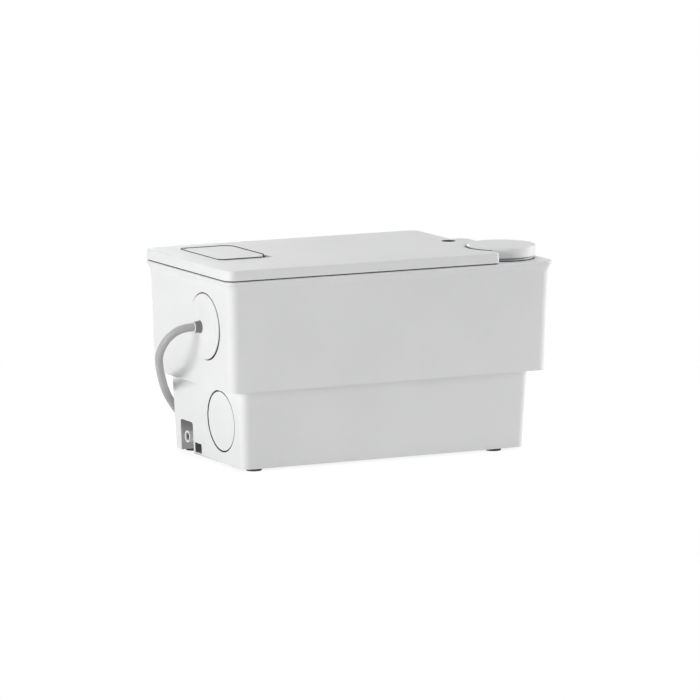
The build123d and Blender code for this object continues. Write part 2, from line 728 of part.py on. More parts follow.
# Lower right port: rubber sleeve for a 40 mm pipe, with a flap behind it
sleeve_seat_x = -port_seat_x
sleeve_end_x = lower_half_length(port_z) - port_boss_depth - 4.0
flap_radius = 23.0
flap_thickness = 2.5
flap_hinge_x = sleeve_end_x - 3.0
flap_hinge_z = port_z + 25.5
flap_barrel_radius = 2.6
trunnion_radius = 1.5
ear_in = 11.0
ear_out = 14.0
with BuildPart() as inlet_sleeve_right:
    with Locations(along_x(sleeve_seat_x, port_y, port_z)):
        Cylinder(port_radius - port_gap, 3.0, align=UP)
    with Locations(along_x(sleeve_end_x, port_y, port_z)):
        Cylinder(port_bore - slip, sleeve_seat_x - sleeve_end_x, align=UP)
        Cylinder(pipe_radius, 2 * port_depth + 2 * port_boss_depth, mode=Mode.SUBTRACT)
    for side in (-1, 1):
        with Locations((sleeve_end_x, port_y + side * ear_in, flap_hinge_z)):
            Box(6.0, ear_out - ear_in, 7.0, align=(Align.MAX, Align.MIN if side > 0 else Align.MAX,
                                                   Align.CENTER))
    with Locations(Location((flap_hinge_x, port_y, flap_hinge_z), (90, 0, 0))):
        Cylinder(trunnion_radius + running_clearance, 4 * ear_out, mode=Mode.SUBTRACT)
save(inlet_sleeve_right, "inlet_sleeve_right")

with BuildPart() as inlet_flap_right:
    with Locations(along_x(sleeve_end_x - slip - flap_thickness, port_y, port_z)):
        Cylinder(flap_radius, flap_thickness, align=UP)
    with Locations((sleeve_end_x - slip - flap_thickness, port_y, flap_hinge_z)):
        Box(flap_thickness, 2 * (ear_in - slip), 9.0, align=(Align.MIN, Align.CENTER, Align.MAX))
    with Locations(Location((flap_hinge_x, port_y, flap_hinge_z), (90, 0, 0))):
        Cylinder(flap_barrel_radius, 2 * (ear_in - slip))
        Cylinder(trunnion_radius, 2 * ear_out)
save(inlet_flap_right, "inlet_flap_right")

drain_plug_length = 14.0
drain_plug_recess = 1.5
with BuildPart() as drain_plug:
    with Locations(along_x(-nozzle_tip + drain_plug_recess, nozzle_y, nozzle_z)):
        Cylinder(nozzle_bore - slip, drain_plug_length, align=UP)
        Cylinder(1.5, 4.0, align=UP, mode=Mode.SUBTRACT)
save(drain_plug, "drain_plug")

# Deck over the sump, with its gasket and screws
deck_length = upper_foot_length - 2 * tank_wall - 2 * deck_slack
deck_width = upper_foot_width - 2 * tank_wall - 2 * deck_slack
deck_corner = rim_corner - tank_wall
gasket_inner_length = lower_top_length - 2 * tank_wall - 16
gasket_inner_width = lower_top_width - 2 * tank_wall - 16
guide_radius = 7.0
seal_pocket_radius = 14.3
pipe_y = motor_y + volute_chamber_radius - pipe_outer
base_screw_places = [(motor_x + flange_screw_circle * cos(radians(a)),
                      motor_y + flange_screw_circle * sin(radians(a))) for a in (45, 135, 225, 315)]
cover_screw_places = [(motor_x + cover_screw_circle * cos(radians(a)),
                       motor_y + cover_screw_circle * sin(radians(a))) for a in (0, 90, 180, 270)]
with BuildPart() as pump_deck:
    with BuildSketch(Plane.XY.offset(z_deck_floor)):
        RectangleRounded(deck_length, deck_width, deck_corner)
        with Locations((motor_x, motor_y)):
            Circle(seal_pocket_radius, mode=Mode.SUBTRACT)
        with Locations((valve_x, pipe_y)):
            Circle(pipe_outer + slip, mode=Mode.SUBTRACT)
        with Locations((float_x, float_y)):
            Circle(guide_radius + slip, mode=Mode.SUBTRACT)
        with Locations(deck_screw_places):
            Circle(deck_screw_radius + screw_slip, mode=Mode.SUBTRACT)
        with Locations(base_screw_places):
            Circle(deck_screw_radius + screw_slip, mode=Mode.SUBTRACT)
    extrude(amount=deck_thickness)
save(pump_deck, "pump_deck")

with BuildPart() as deck_seal:
    with BuildSketch(Plane.XY.offset(z_ledge)):
        RectangleRounded(deck_length - 2, deck_width - 2, deck_corner)
        RectangleRounded(gasket_inner_length, gasket_inner_width, lower_corner, mode=Mode.SUBTRACT)
        with Locations(deck_screw_places):
            Circle(deck_screw_radius + screw_slip, mode=Mode.SUBTRACT)
    extrude(amount=deck_seal_thickness)
save(deck_seal, "deck_seal")

with BuildPart() as deck_screws:
    with Locations(at(deck_screw_places, z_deck)):
        Cylinder(screw_head_radius, screw_head_height, align=UP)
        Cylinder(deck_screw_radius, z_deck - z_ledge + deck_boss_depth - 5, align=DOWN)
save(deck_screws, "deck_screws")

# Motor: housing, cover, stator with its windings, rotor, shaft and bearings
motor_bore = motor_radius - motor_wall
z_motor_top = z_deck + motor_height
hub_outer = 20.0
bearing_slip = 0.05
lower_bearing_z = z_deck + 2.5
housing_hub_top = lower_bearing_z + bearing_height + 2.0
stator_z = z_deck + 22.0
winding_height = 6.0
winding_inner = stator_bore + 3.0
winding_outer = motor_bore - 1.5
upper_bearing_z = z_motor_top - 10.0
cover_top = z_motor_top + motor_cover_thickness
shaft_bottom = z_deck_floor - volute_drop + 1.3
shaft_top = cover_top - 4.5
with BuildPart() as motor_housing:
    with Locations((motor_x, motor_y, z_deck)):
        Cylinder(motor_radius, motor_height, align=UP)
        Cylinder(flange_radius, flange_thickness, align=UP)
    with Locations((motor_x, motor_y, z_deck + 6.0)):
        Cylinder(motor_bore, motor_height, align=UP, mode=Mode.SUBTRACT)
    with Locations((motor_x, motor_y, z_deck)):
        Cylinder(hub_outer, housing_hub_top - z_deck, align=UP)
        Cylinder(shaft_radius + 2, motor_height, align=UP, mode=Mode.SUBTRACT)
    with Locations((motor_x, motor_y, lower_bearing_z)):
        Cylinder(bearing_radius, motor_height, align=UP, mode=Mode.SUBTRACT)
    with Locations(at(base_screw_places, z_deck)):
        Cylinder(deck_screw_radius + screw_slip, motor_height, mode=Mode.SUBTRACT)
    with Locations(at(cover_screw_places, z_motor_top)):
        Cylinder(1.6, 16.0, align=DOWN, mode=Mode.SUBTRACT)
save(motor_housing, "motor_housing")

with BuildPart() as motor_cover:
    with Locations((motor_x, motor_y, z_motor_top)):
        Cylinder(motor_radius, motor_cover_thickness, align=UP)
        Cylinder(hub_outer, z_motor_top - upper_bearing_z, align=DOWN)
    fillet(motor_cover.faces().sort_by(Axis.Z)[-1].edges(), 2.5)
    with Locations((motor_x, motor_y, upper_bearing_z)):
        Cylinder(bearing_radius, bearing_height + 2.5, align=UP, mode=Mode.SUBTRACT)
    with Locations(at(cover_screw_places, cover_top)):
        CounterBoreHole(1.6, 2.9, 2.2, motor_cover_thickness)
save(motor_cover, "motor_cover")

with BuildPart() as motor_screws:
    with Locations(at(base_screw_places, z_deck + flange_thickness)):
        Cylinder(screw_head_radius, screw_head_height, align=UP)
        Cylinder(deck_screw_radius, flange_thickness + deck_thickness, align=DOWN)
    with Locations(at(cover_screw_places, cover_top - 2.2)):
        Cylinder(2.7, 1.8, align=UP)
        Cylinder(1.5, 17.0, align=DOWN)
save(motor_screws, "motor_screws")

with BuildPart() as stator:
    with BuildSketch(Plane.XY.offset(stator_z)):
        with Locations((motor_x, motor_y)):
            Circle(motor_bore)
            Circle(stator_bore, mode=Mode.SUBTRACT)
            with PolarLocations(stator_bore + 5, 24):
                Rectangle(9.0, 2.2, mode=Mode.SUBTRACT)
    extrude(amount=stator_height)
save(stator, "stator")

with BuildPart() as windings:
    for z in (stator_z - winding_height, stator_z + stator_height):
        with BuildSketch(Plane.XY.offset(z)):
            with Locations((motor_x, motor_y)):
                Circle(winding_outer)
                Circle(winding_inner, mode=Mode.SUBTRACT)
        extrude(amount=winding_height)
save(windings, "windings")

with BuildPart() as rotor:
    with BuildSketch(Plane.XY.offset(stator_z - 1)):
        with Locations((motor_x, motor_y)):
            Circle(stator_bore - air_gap)
            Circle(shaft_radius, mode=Mode.SUBTRACT)
    extrude(amount=stator_height + 2)
save(rotor, "rotor")

with BuildPart() as shaft:
    with Locations((motor_x, motor_y, shaft_bottom)):
        Cylinder(shaft_radius, shaft_top - shaft_bottom, align=UP)
save(shaft, "shaft")


def bearing(name, z):
    """A ball bearing as one closed ring, running on the shaft."""
    with BuildPart() as race:
        with Locations((motor_x, motor_y, z)):
            Cylinder(bearing_radius, bearing_height, align=UP)
            Cylinder(shaft_radius + bearing_slip, bearing_height, align=UP, mode=Mode.SUBTRACT)
    save(race, name)


bearing("lower_bearing", lower_bearing_z)
bearing("upper_bearing", upper_bearing_z)

# Pump under the deck: volute, shaft seal, impeller, nut and suction cover with strainer
z_volute = z_deck_floor - volute_drop
z_chamber_top = z_volute + volute_chamber_height
pump_z = z_volute + volute_chamber_height / 2
stub_length = 62.0
with BuildPart() as volute:
    with Locations((motor_x, motor_y, z_volute)):
        Cylinder(volute_radius, volute_drop, align=UP)
    with Locations(along_x(motor_x, pipe_y, pump_z)):
        Cylinder(pipe_outer, stub_length, align=UP)
    with Locations((motor_x, motor_y, z_volute)):
        Cylinder(volute_chamber_radius, volute_chamber_height, align=UP, mode=Mode.SUBTRACT)
    with Locations(along_x(motor_x + 10, pipe_y, pump_z)):
        Cylinder(pipe_bore, stub_length, align=UP, mode=Mode.SUBTRACT)
    with Locations((motor_x, motor_y, z_chamber_top + 2)):
        Cylinder(seal_pocket_radius, volute_drop, align=UP, mode=Mode.SUBTRACT)
        Cylinder(shaft_radius + 2, volute_drop, mode=Mode.SUBTRACT)
save(volute, "volute")

with BuildPart() as shaft_seal:
    with Locations((motor_x, motor_y, z_chamber_top + 2)):
        Cylinder(seal_pocket_radius, 9.0, align=UP)
        Cylinder(shaft_radius + bearing_slip, 9.0, align=UP, mode=Mode.SUBTRACT)
save(shaft_seal, "shaft_seal")

impeller_top = z_chamber_top - 2.5
nut_height = 6.0
with BuildPart() as impeller:
    with Locations((motor_x, motor_y, impeller_top)):
        Cylinder(impeller_radius, impeller_plate, align=DOWN)
        Cylinder(hub_radius, impeller_plate + vane_height + 4, align=DOWN)
    with BuildSketch(Plane.XY.offset(impeller_top - impeller_plate)):
        with Locations((motor_x, motor_y)):
            with PolarLocations(0, vane_count):
                with BuildLine():
                    inner = RadiusArc((hub_radius - 1, 0), (impeller_radius - 4, -16), 30)
                    offset(inner, 1.2, side=Side.BOTH)
                make_face()
    extrude(amount=-vane_height)
    with Locations((motor_x, motor_y, impeller_top)):
        Cylinder(shaft_radius, 4 * vane_height, mode=Mode.SUBTRACT)
save(impeller, "impeller")

with BuildPart() as impeller_nut:
    with BuildSketch(Plane.XY.offset(impeller_top - impeller_plate - vane_height - 4)):
        with Locations((motor_x, motor_y)):
            RegularPolygon(8.0, 6)
            Circle(shaft_radius, mode=Mode.SUBTRACT)
    extrude(amount=-nut_height)
save(impeller_nut, "impeller_nut")

strainer_foot = z_floor + floor_thickness + strainer_lift
with BuildPart() as suction_cover:
    with Locations((motor_x, motor_y, z_volute)):
        Cylinder(volute_radius, 3.0, align=DOWN)
        Cylinder(volute_chamber_radius - slip, 2.0, align=UP)
    with Locations((motor_x, motor_y, strainer_foot)):
        Cylinder(strainer_radius, z_volute - strainer_foot, align=UP)
        Cylinder(strainer_radius - 2.5, 2 * (z_volute - 3.0 - strainer_foot), mode=Mode.SUBTRACT)
        Cylinder(suction_radius, volute_drop, align=UP, mode=Mode.SUBTRACT)
        with PolarLocations(strainer_radius, strainer_slots):
            Box(12.0, 6.0, 2 * (z_volute - strainer_foot - 14), mode=Mode.SUBTRACT)
save(suction_cover, "suction_cover")

# Pressure pipe from the volute up through the deck
valve_socket = 8.0
pipe_start_x = motor_x + stub_length
z_pipe_top = z_deck + valve_socket - slip
with BuildPart() as pressure_pipe:
    with BuildLine() as pipe_path:
        FilletPolyline((pipe_start_x + slip, pipe_y, pump_z), (valve_x, pipe_y, pump_z),
                       (valve_x, pipe_y, z_pipe_top), radius=pipe_bend)
    with BuildSketch(Plane.YZ.offset(pipe_start_x + slip)):
        with Locations((pipe_y, pump_z)):
            Circle(pipe_outer)
            Circle(pipe_bore, mode=Mode.SUBTRACT)
    sweep(path=pipe_path.wire())
    with BuildSketch(Plane.YZ.offset(pipe_start_x - 10)):
        with Locations((pipe_y, pump_z)):
            Circle(socket_outer)
            Circle(pipe_outer + seal_slack, mode=Mode.SUBTRACT)
    extrude(amount=10 + slip)
    with BuildSketch(Plane.YZ.offset(pipe_start_x + slip)):
        with Locations((pipe_y, pump_z)):
            Circle(socket_outer)
            Circle(pipe_bore, mode=Mode.SUBTRACT)
    extrude(amount=5.0)
save(pressure_pipe, "pressure_pipe")

# Check valve: body with seat, ball, and top with the hose neck
z_seat = z_deck + seat_lift
z_valve_top = z_deck + valve_height
ball_rest = z_seat + sqrt(ball_radius**2 - ball_seat**2) + slip
valve_flange = 3.0
neck_top = hose_z - hose_bend - 0.3
with BuildPart() as valve_body:
    with Locations((valve_x, pipe_y, z_deck)):
        Cylinder(valve_radius, valve_height, align=UP)
        Cylinder(pipe_outer + seal_slack, valve_socket, align=UP, mode=Mode.SUBTRACT)
        Cylinder(ball_seat, valve_height, align=UP, mode=Mode.SUBTRACT)
    with Locations((valve_x, pipe_y, z_seat)):
        Cylinder(valve_chamber, valve_height, align=UP, mode=Mode.SUBTRACT)
save(valve_body, "valve_body")

with BuildPart() as valve_ball:
    with Locations((valve_x, pipe_y, ball_rest)):
        Sphere(ball_radius)
save(valve_ball, "valve_ball")

with BuildPart() as valve_top:
    with Locations((valve_x, pipe_y, z_valve_top)):
        Cylinder(valve_radius, valve_flange, align=UP)
        Cylinder(pipe_outer, neck_top - z_valve_top, align=UP)
        Cylinder(pipe_bore, 2 * (neck_top - z_valve_top) + 2, mode=Mode.SUBTRACT)
save(valve_top, "valve_top")

hose_start = z_valve_top + valve_flange + slip
hose_end_y = cap_y + spigot_reach - hose_spigot_length
with BuildPart() as riser_hose:
    with BuildLine() as hose_path:
        FilletPolyline((valve_x, pipe_y, hose_start), (valve_x, pipe_y, hose_z),
                       (valve_x, hose_end_y, hose_z), radius=hose_bend)
    with BuildSketch(Plane.XY.offset(hose_start)):
        with Locations((valve_x, pipe_y)):
            Circle(pipe_outer + seal_slack + hose_wall)
            Circle(pipe_outer + seal_slack, mode=Mode.SUBTRACT)
    sweep(path=hose_path.wire())
save(riser_hose, "riser_hose")

hose_outer = pipe_outer + seal_slack + hose_wall
with BuildPart() as hose_clamps:
    with Locations(Location((valve_x, pipe_y, hose_start + 1)),
                   Location((valve_x, hose_end_y + clamp_width + 3, hose_z), (90, 0, 0))):
        Cylinder(hose_outer + clamp_thickness, clamp_width, align=UP)
        with Locations((hose_outer + 2.5, 0, 0)):
            Box(6.0, 8.0, clamp_width, align=UP)
        Cylinder(hose_outer + 0.05, clamp_width, align=UP, mode=Mode.SUBTRACT)
save(hose_clamps, "hose_clamps")

# Float with its rod, guide and switch
rod_collar = 5.0
guide_height = 12.0
rod_top = z_deck + guide_height + 10.0
bracket_gap = 11.0
switch_height = 24.0
with BuildPart() as float_body:
    with Locations((float_x, float_y, float_bottom)):
        Cylinder(float_radius, float_height, align=UP)
    fillet(float_body.edges().filter_by(GeomType.CIRCLE), 4.0)
    with Locations((float_x, float_y, float_bottom)):
        Cylinder(rod_radius, 3 * float_height, mode=Mode.SUBTRACT)
save(float_body, "float")

with BuildPart() as float_rod:
    with Locations((float_x, float_y, float_bottom)):
        Cylinder(rod_radius, rod_top - float_bottom, align=UP)
    with Locations((float_x, float_y, z_deck + guide_height + slip)):
        Cylinder(rod_collar, 3.0, align=UP)
save(float_rod, "float_rod")

with BuildPart() as float_guide:
    with Locations((float_x, float_y, z_deck_floor - 5)):
        Cylinder(guide_radius, z_deck - z_deck_floor + 5 + guide_height, align=UP)
    with Locations((float_x, float_y, z_deck)):
        Box(30, 2 * bracket_gap, 3.0, align=UP)
    with Locations((float_x, float_y + bracket_gap, z_deck)):
        Box(24, 3.0, switch_lift + switch_height, align=(Align.CENTER, Align.MIN, Align.MIN))
        Box(24, 3.0, 3.0, align=(Align.CENTER, Align.MAX, Align.MIN))
    with Locations((float_x, float_y, z_deck)):
        Cylinder(rod_radius + running_clearance, 4 * guide_height, mode=Mode.SUBTRACT)
save(float_guide, "float_guide")

with BuildPart() as level_switch:
    with Locations((float_x, float_y + bracket_gap, z_deck + switch_lift)):
        Box(24, 17, switch_height, align=(Align.CENTER, Align.MAX, Align.MIN))
    fillet(level_switch.edges().filter_by(Axis.Z), 1.0)
    with Locations((float_x, float_y, z_deck + switch_lift)):
        Cylinder(rod_radius, 1.5, align=DOWN)
save(level_switch, "level_switch")

# Control box with its lid, circuit board and the motor's capacitor
board_lift = 8.0
board_thickness = 1.6
with BuildPart() as control_box:
    with Locations((box_x, box_y, z_deck)):
        Box(box_length, box_width, box_height, align=UP)
        fillet(control_box.edges().filter_by(Axis.Z), 4.0)
    with Locations((box_x, box_y, z_deck + box_wall)):
        Box(box_length - 2 * box_wall, box_width - 2 * box_wall, box_height, align=UP,
            mode=Mode.SUBTRACT)
    with Locations((box_x, box_y, z_deck + box_wall)):
        with GridLocations(box_length - 20, box_width - 20, 2, 2):
            Cylinder(3.0, board_lift, align=UP)
save(control_box, "control_box")

with BuildPart() as control_box_lid:
    with Locations((box_x, box_y, z_deck + box_height)):
        Box(box_length, box_width, box_lid_thickness, align=UP)
        fillet(control_box_lid.edges().filter_by(Axis.Z), 4.0)
        Box(box_length - 2 * box_wall - 2 * slip, box_width - 2 * box_wall - 2 * slip, 2.0, align=DOWN)
save(control_box_lid, "control_box_lid")

board_z = z_deck + box_wall + board_lift
with BuildPart() as circuit_board:
    with Locations((box_x, box_y, board_z)):
        Box(box_length - 2 * box_wall - 4, box_width - 2 * box_wall - 4, board_thickness, align=UP)
    with Locations((box_x - 20, box_y + 10, board_z + board_thickness)):
        Box(16, 12, 15, align=UP)
    with Locations((box_x + 5, box_y - 8, board_z + board_thickness)):
        Box(20, 16, 17, align=UP)
    with Locations((box_x + 24, box_y + 10, board_z + board_thickness)):
        Cylinder(5, 12, align=UP)
save(circuit_board, "circuit_board")

capacitor_x = 85.0
capacitor_y = rim_width / 2 - 44.5
capacitor_radius = 17.0
with BuildPart() as run_capacitor:
    with Locations((capacitor_x, capacitor_y, z_deck)):
        Cylinder(capacitor_radius, 62.0, align=UP)
    fillet(run_capacitor.faces().sort_by(Axis.Z)[-1].edges(), 2.0)
    with Locations((capacitor_x, capacitor_y, z_deck + 62)):
        with GridLocations(12, 1, 2, 1):
            Box(0.8, 6.3, 8.0, align=UP)
save(run_capacitor, "run_capacitor")

# Filter tray that hangs in the hatch's well, with a block of activated carbon
z_flange = z_lid + ledge_thickness
tray_right = hatch_right - rest_width - slip
tray_x = (hatch_left + slip + tray_right) / 2
tray_flange_length = tray_right - hatch_left - slip
tray_flange_width = hatch_width - 2 * slip
tray_length = tray_flange_length - 2 * tray_margin
tray_width = tray_flange_width - 2 * tray_margin
tray_corner = 9.0
carbon_slip = 0.5
with BuildPart() as filter_tray:
    with BuildSketch(Plane.XY.offset(z_flange)) as rim:
        with Locations((tray_x, hatch_y)):
            Rectangle(tray_flange_length, tray_flange_width)
        corners = rim.vertices().group_by(Axis.X)[0] + rim.vertices().group_by(Axis.X)[-1].sort_by(Axis.Y)[-1:]
        fillet(corners, hatch_corner)
        with BuildLine():
            Polyline((tray_right, hatch_front), (tray_right - finger_x, hatch_front),
                     (tray_right, hatch_front + finger_y), close=True)
        make_face(mode=Mode.SUBTRACT)
    extrude(amount=tray_flange)
    with BuildSketch(Plane.XY.offset(tray_bottom)):
        with Locations((tray_x, hatch_y)):
            RectangleRounded(tray_length, tray_width, tray_corner)
    extrude(amount=z_flange - tray_bottom)
    with BuildSketch(Plane.XY.offset(tray_bottom + tray_wall)):
        with Locations((tray_x, hatch_y)):
            RectangleRounded(tray_length - 2 * tray_wall, tray_width - 2 * tray_wall,
                             tray_corner - tray_wall)
    extrude(amount=z_flange, mode=Mode.SUBTRACT)
    with Locations((tray_x, hatch_y, tray_bottom)):
        with GridLocations(9, 0, 4, 1):
            Box(5, tray_width - 24, 4 * tray_wall, mode=Mode.SUBTRACT)
save(filter_tray, "filter_tray")

with BuildPart() as carbon_filter:
    with BuildSketch(Plane.XY.offset(tray_bottom + tray_wall)):
        with Locations((tray_x, hatch_y)):
            RectangleRounded(tray_length - 2 * tray_wall - 2 * carbon_slip,
                             tray_width - 2 * tray_wall - 2 * carbon_slip,
                             tray_corner - tray_wall - carbon_slip)
    extrude(amount=z_flange - tray_bottom - tray_wall - 4)
save(carbon_filter, "carbon_filter")


def arc_radii(points):
    """The largest arc at each inner point: 0.45 of the shorter run over the tangent of half the turn."""
    radii = []
    for before, here, after in zip(points, points[1:], points[2:]):
        first = Vector(*here) - Vector(*before)
        second = Vector(*after) - Vector(*here)
        turn = radians(first.get_angle(second))
        radii.append(0.45 * min(first.length, second.length) / tan(turn / 2))
    return radii


def cable(name, route, radius):
    """A round cable along straight runs joined by tangent arcs."""
    radii = arc_radii(route)
    with BuildPart() as tube:
        with BuildLine() as path:
            FilletPolyline(*route, radius=radii)
        with BuildSketch(Plane(origin=route[0], z_dir=Vector(*route[1]) - Vector(*route[0]))):
            Circle(radius)
        sweep(path=path.wire())
    length = path.wire().length
    share = tube.part.volume / (pi * radius**2 * length)
    print(name, "radii", [round(r, 1) for r in radii])
    print(name, "length", round(length, 1), "volume over section times length", round(share, 5))
    save(tube, name)
    return length


# Cables inside: from the gland to the control box, and on to the motor
inner_radius = 3.6
inner_straight = 14.0      # from the sleeve's end to the first bend
inner_side = 9.0
inner_drop = 27.0
box_left = box_x - box_length / 2
box_right = box_x + box_length / 2
cable("inner_cable", [
    (sleeve_inner_x, cable_y, cable_z),
    (sleeve_inner_x + inner_straight, cable_y, cable_z),
    (sleeve_inner_x + inner_straight + 1, cable_y - inner_side, cable_z - inner_drop),
    (box_left, cable_y - inner_side, cable_z - inner_drop),
], inner_radius)
cable("motor_cable", [
    (box_right, motor_y - 24, z_deck + 34),
    (box_right + 16, motor_y - 24, z_deck + 34),
    (box_right + 32, motor_y, z_deck + 30),
    (motor_x - motor_radius, motor_y, z_deck + 30),
], inner_radius)

# The mains cord: from its sleeve down the left end, round the back corner to the floor
tank_left = -rim_length / 2
tank_back = rim_width / 2
cord_route = [
    (gland_x, cable_y, cable_z),
    (tank_left - 17.9, cable_y, cable_z),
    (tank_left - 28.9, cable_y + 1.5, cable_z - 3.2),
    (tank_left - 36.8, cable_y + 5.7, cable_z - 10.4),
    (tank_left - 41.2, cable_y + 12.9, cable_z - 21.5),
    (tank_left - 39.8, cable_y + 23.8, cable_z - 35.0),
    (tank_left - 32.6, cable_y + 36.3, cable_z - 46.5),
    (tank_left - 24.4, cable_y + 52.3, cable_z - 55.2),
    (tank_left - 12.8, cable_y + 74.3, cable_z - 64.0),
    (tank_left + 0.3, tank_back - 47.5, cable_z - 73.5),
    (tank_left + 15.3, tank_back - 19.5, cable_z - 85.0),
    (tank_left + 31.9, tank_back + 5.0, cable_z - 100.5),
    (tank_left + 50.5, tank_back + 19.0, 34.5),
    (tank_left + 74.5, tank_back + 24.5, 15.5),
    (tank_left + 104.5, tank_back + 24.5, cord_radius),
    (tank_left + 139.5, tank_back + 21.0, cord_radius),
    (coil_x - cord_straight - 36.0, coil_y - coil_radius, cord_radius),
    (coil_x - cord_straight, coil_y - coil_radius, cord_radius),
]
free_length = cable("cord_free", cord_route, cord_radius)

# The rest of the cord: a flat coil of half turns that winds in, climbs a layer and winds out again
radius_step = coil_pitch / 2
turn_radii = [coil_radius - radius_step * step for step in range(4)]
climb_radius = turn_radii[-1]
climb_middle = sqrt(climb_radius**2 + coil_layer**2 / 4)
climb_chord = climb_radius**2 + climb_middle**2


def turn(points, start, radius, side, z):
    """A half turn in plan, from start, counter-clockwise; side is -1 at the front and 1 at the back."""
    x, y = start
    end = (x, y - 2 * side * radius)
    points.append(((x, y, z), (x - side * radius, y - side * radius, z), (end[0], end[1], z)))
    return end


half_turns = []
place = (coil_x, coil_y - coil_radius)
side = -1
low = cord_radius
high = cord_radius + coil_layer
for radius in turn_radii[:-1]:
    place = turn(half_turns, place, radius, side, low)
    side = -side
climb_start = Vector(place[0], place[1], low)
climb_centre = Vector(place[0], place[1] - side * climb_radius, low)
place = (place[0], place[1] - 2 * side * climb_radius)
climb_end = Vector(place[0], place[1], high)
side = -side
upper_turns = []
for radius in turn_radii[-2::-1]:
    place = turn(upper_turns, place, radius, side, high)
    side = -side

back = Vector(0, 1, 0)
left = Vector(-1, 0, 0)
up = Vector(0, 0, 1)
climb_top = climb_centre + left * climb_middle + up * (coil_layer / 2)
climb_slope = (up * (climb_middle * coil_layer) - back * (2 * climb_middle * climb_radius)) * (1 / climb_chord)
coil_start = Vector(coil_x - cord_straight, coil_y - coil_radius, low)
coil_end = Vector(coil_x - cord_straight, place[1], high)
with BuildPart() as cord_coil:
    with BuildLine() as coil_path:
        Line(coil_start, coil_start + Vector(cord_straight, 0, 0))
        for first, middle, last in half_turns:
            ThreePointArc(first, middle, last)
        TangentArc(climb_start, climb_top, tangent=left)
        TangentArc(climb_top, climb_end, tangent=climb_slope)
        for first, middle, last in upper_turns:
            ThreePointArc(first, middle, last)
        Line(coil_end + Vector(cord_straight, 0, 0), coil_end)
    with BuildSketch(Plane(origin=coil_start, z_dir=(1, 0, 0))):
        Circle(cord_radius)
    sweep(path=coil_path.wire())
save(cord_coil, "cord_coil")

coil_wire = coil_path.wire()
coil_length = coil_wire.length
samples = 900
along = [coil_wire @ (i / samples) for i in range(samples + 1)]
spacing = coil_length / samples
apart = int(ceil(3 * coil_radius / spacing))
least = min((along[i] - along[j]).length for i in range(samples) for j in range(i + apart, samples + 1))
print("cord_coil least gap to itself", round(least - 2 * cord_radius, 2))
print("cord length", round(free_length + coil_length))

# Mains plug at the coil's end, lying on the flat of its body
plug_face = coil_end.X - plug_length
with BuildPart() as mains_plug:
    with BuildSketch(Plane.XZ.offset(-coil_end.Y)):
        with BuildLine():
            Polyline((coil_end.X, high), (coil_end.X, high + 6.0), (coil_end.X - 14, high + 7.5),
                     (coil_end.X - 20, high + 14.0), (coil_end.X - 28, high + plug_radius),
                     (plug_face, high + plug_radius), (plug_face, high), close=True)
        make_face()
    revolve(axis=Axis((0, coil_end.Y, high), (1, 0, 0)))
    fillet(mains_plug.faces().sort_by(Axis.X)[0].edges(), 1.5)
    with Locations((plug_face, coil_end.Y, 0)):
        Box(4 * plug_length, 4 * plug_radius, 2 * plug_radius, align=DOWN, mode=Mode.SUBTRACT)
save(mains_plug, "mains_plug")

with BuildPart() as plug_pins:
    with Locations(Location((plug_face, coil_end.Y, high), (0, -90, 0))):
        with GridLocations(1, pin_spacing, 1, 2):
            Cylinder(pin_radius, pin_length, align=UP)
    fillet(plug_pins.faces().group_by(Axis.X)[0].edges(), 1.2)
save(plug_pins, "plug_pins")
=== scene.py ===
from math import cos, hypot, pi, radians, sin

import bmesh
import bpy
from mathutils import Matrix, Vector


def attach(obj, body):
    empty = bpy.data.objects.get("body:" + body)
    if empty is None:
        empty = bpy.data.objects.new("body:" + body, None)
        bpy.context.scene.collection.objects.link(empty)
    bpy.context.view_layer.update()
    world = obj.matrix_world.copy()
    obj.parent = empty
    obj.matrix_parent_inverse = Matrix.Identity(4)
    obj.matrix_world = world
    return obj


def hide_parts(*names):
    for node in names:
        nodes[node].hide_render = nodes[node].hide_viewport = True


# A compact lifting unit for waste water: a two-tier white plastic tank with a flat lid and a hatch,
# an outlet cap on the deck, ports and a cable entry on the ends, and its pump and motor inside.
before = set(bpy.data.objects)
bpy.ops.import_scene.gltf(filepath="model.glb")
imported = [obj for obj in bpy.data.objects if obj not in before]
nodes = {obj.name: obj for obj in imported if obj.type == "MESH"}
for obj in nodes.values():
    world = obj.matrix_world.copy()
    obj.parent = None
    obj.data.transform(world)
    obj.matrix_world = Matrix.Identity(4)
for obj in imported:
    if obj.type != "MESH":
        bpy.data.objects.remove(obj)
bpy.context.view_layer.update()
MM = 0.001


# Camera and light
# A long lens from the front left, a little above the lid, as in a catalogue picture. Soft boxes stand
# at the left, the right and the back, with weaker ones overhead and at the front.
def point(x, y, z):
    """A place in the unit's own frame, given in millimetres."""
    return Vector((x, y, z)) * MM


LENS = 320.7
SENSOR_WIDTH = 36
FAR_CLIP = 60
CAMERA_PLACE = point(-3059.6, -6045.1, 1131.6)
TURNED_RIGHT = radians(26.85)
TURNED_DOWN = radians(8.57)
camera_data = bpy.data.cameras.new("camera")
camera_data.lens = LENS
camera_data.sensor_width = SENSOR_WIDTH
camera_data.clip_end = FAR_CLIP
camera = bpy.data.objects.new("camera", camera_data)
bpy.context.scene.collection.objects.link(camera)
camera.location = CAMERA_PLACE
camera.rotation_euler = (pi / 2 - TURNED_DOWN, 0, -TURNED_RIGHT)
bpy.context.scene.camera = camera
bpy.context.scene.view_settings.view_transform = "Standard"


def softbox(name, place, target, size, power):
    """A square soft light at place, aimed at target, with its power in watts."""
    lamp = bpy.data.lights.new(name, "AREA")
    lamp.size = size
    lamp.energy = power
    box = bpy.data.objects.new(name, lamp)
    bpy.context.scene.collection.objects.link(box)
    box.location = place
    box.rotation_euler = (Vector(target) - Vector(place)).to_track_quat("-Z", "Y").to_euler()


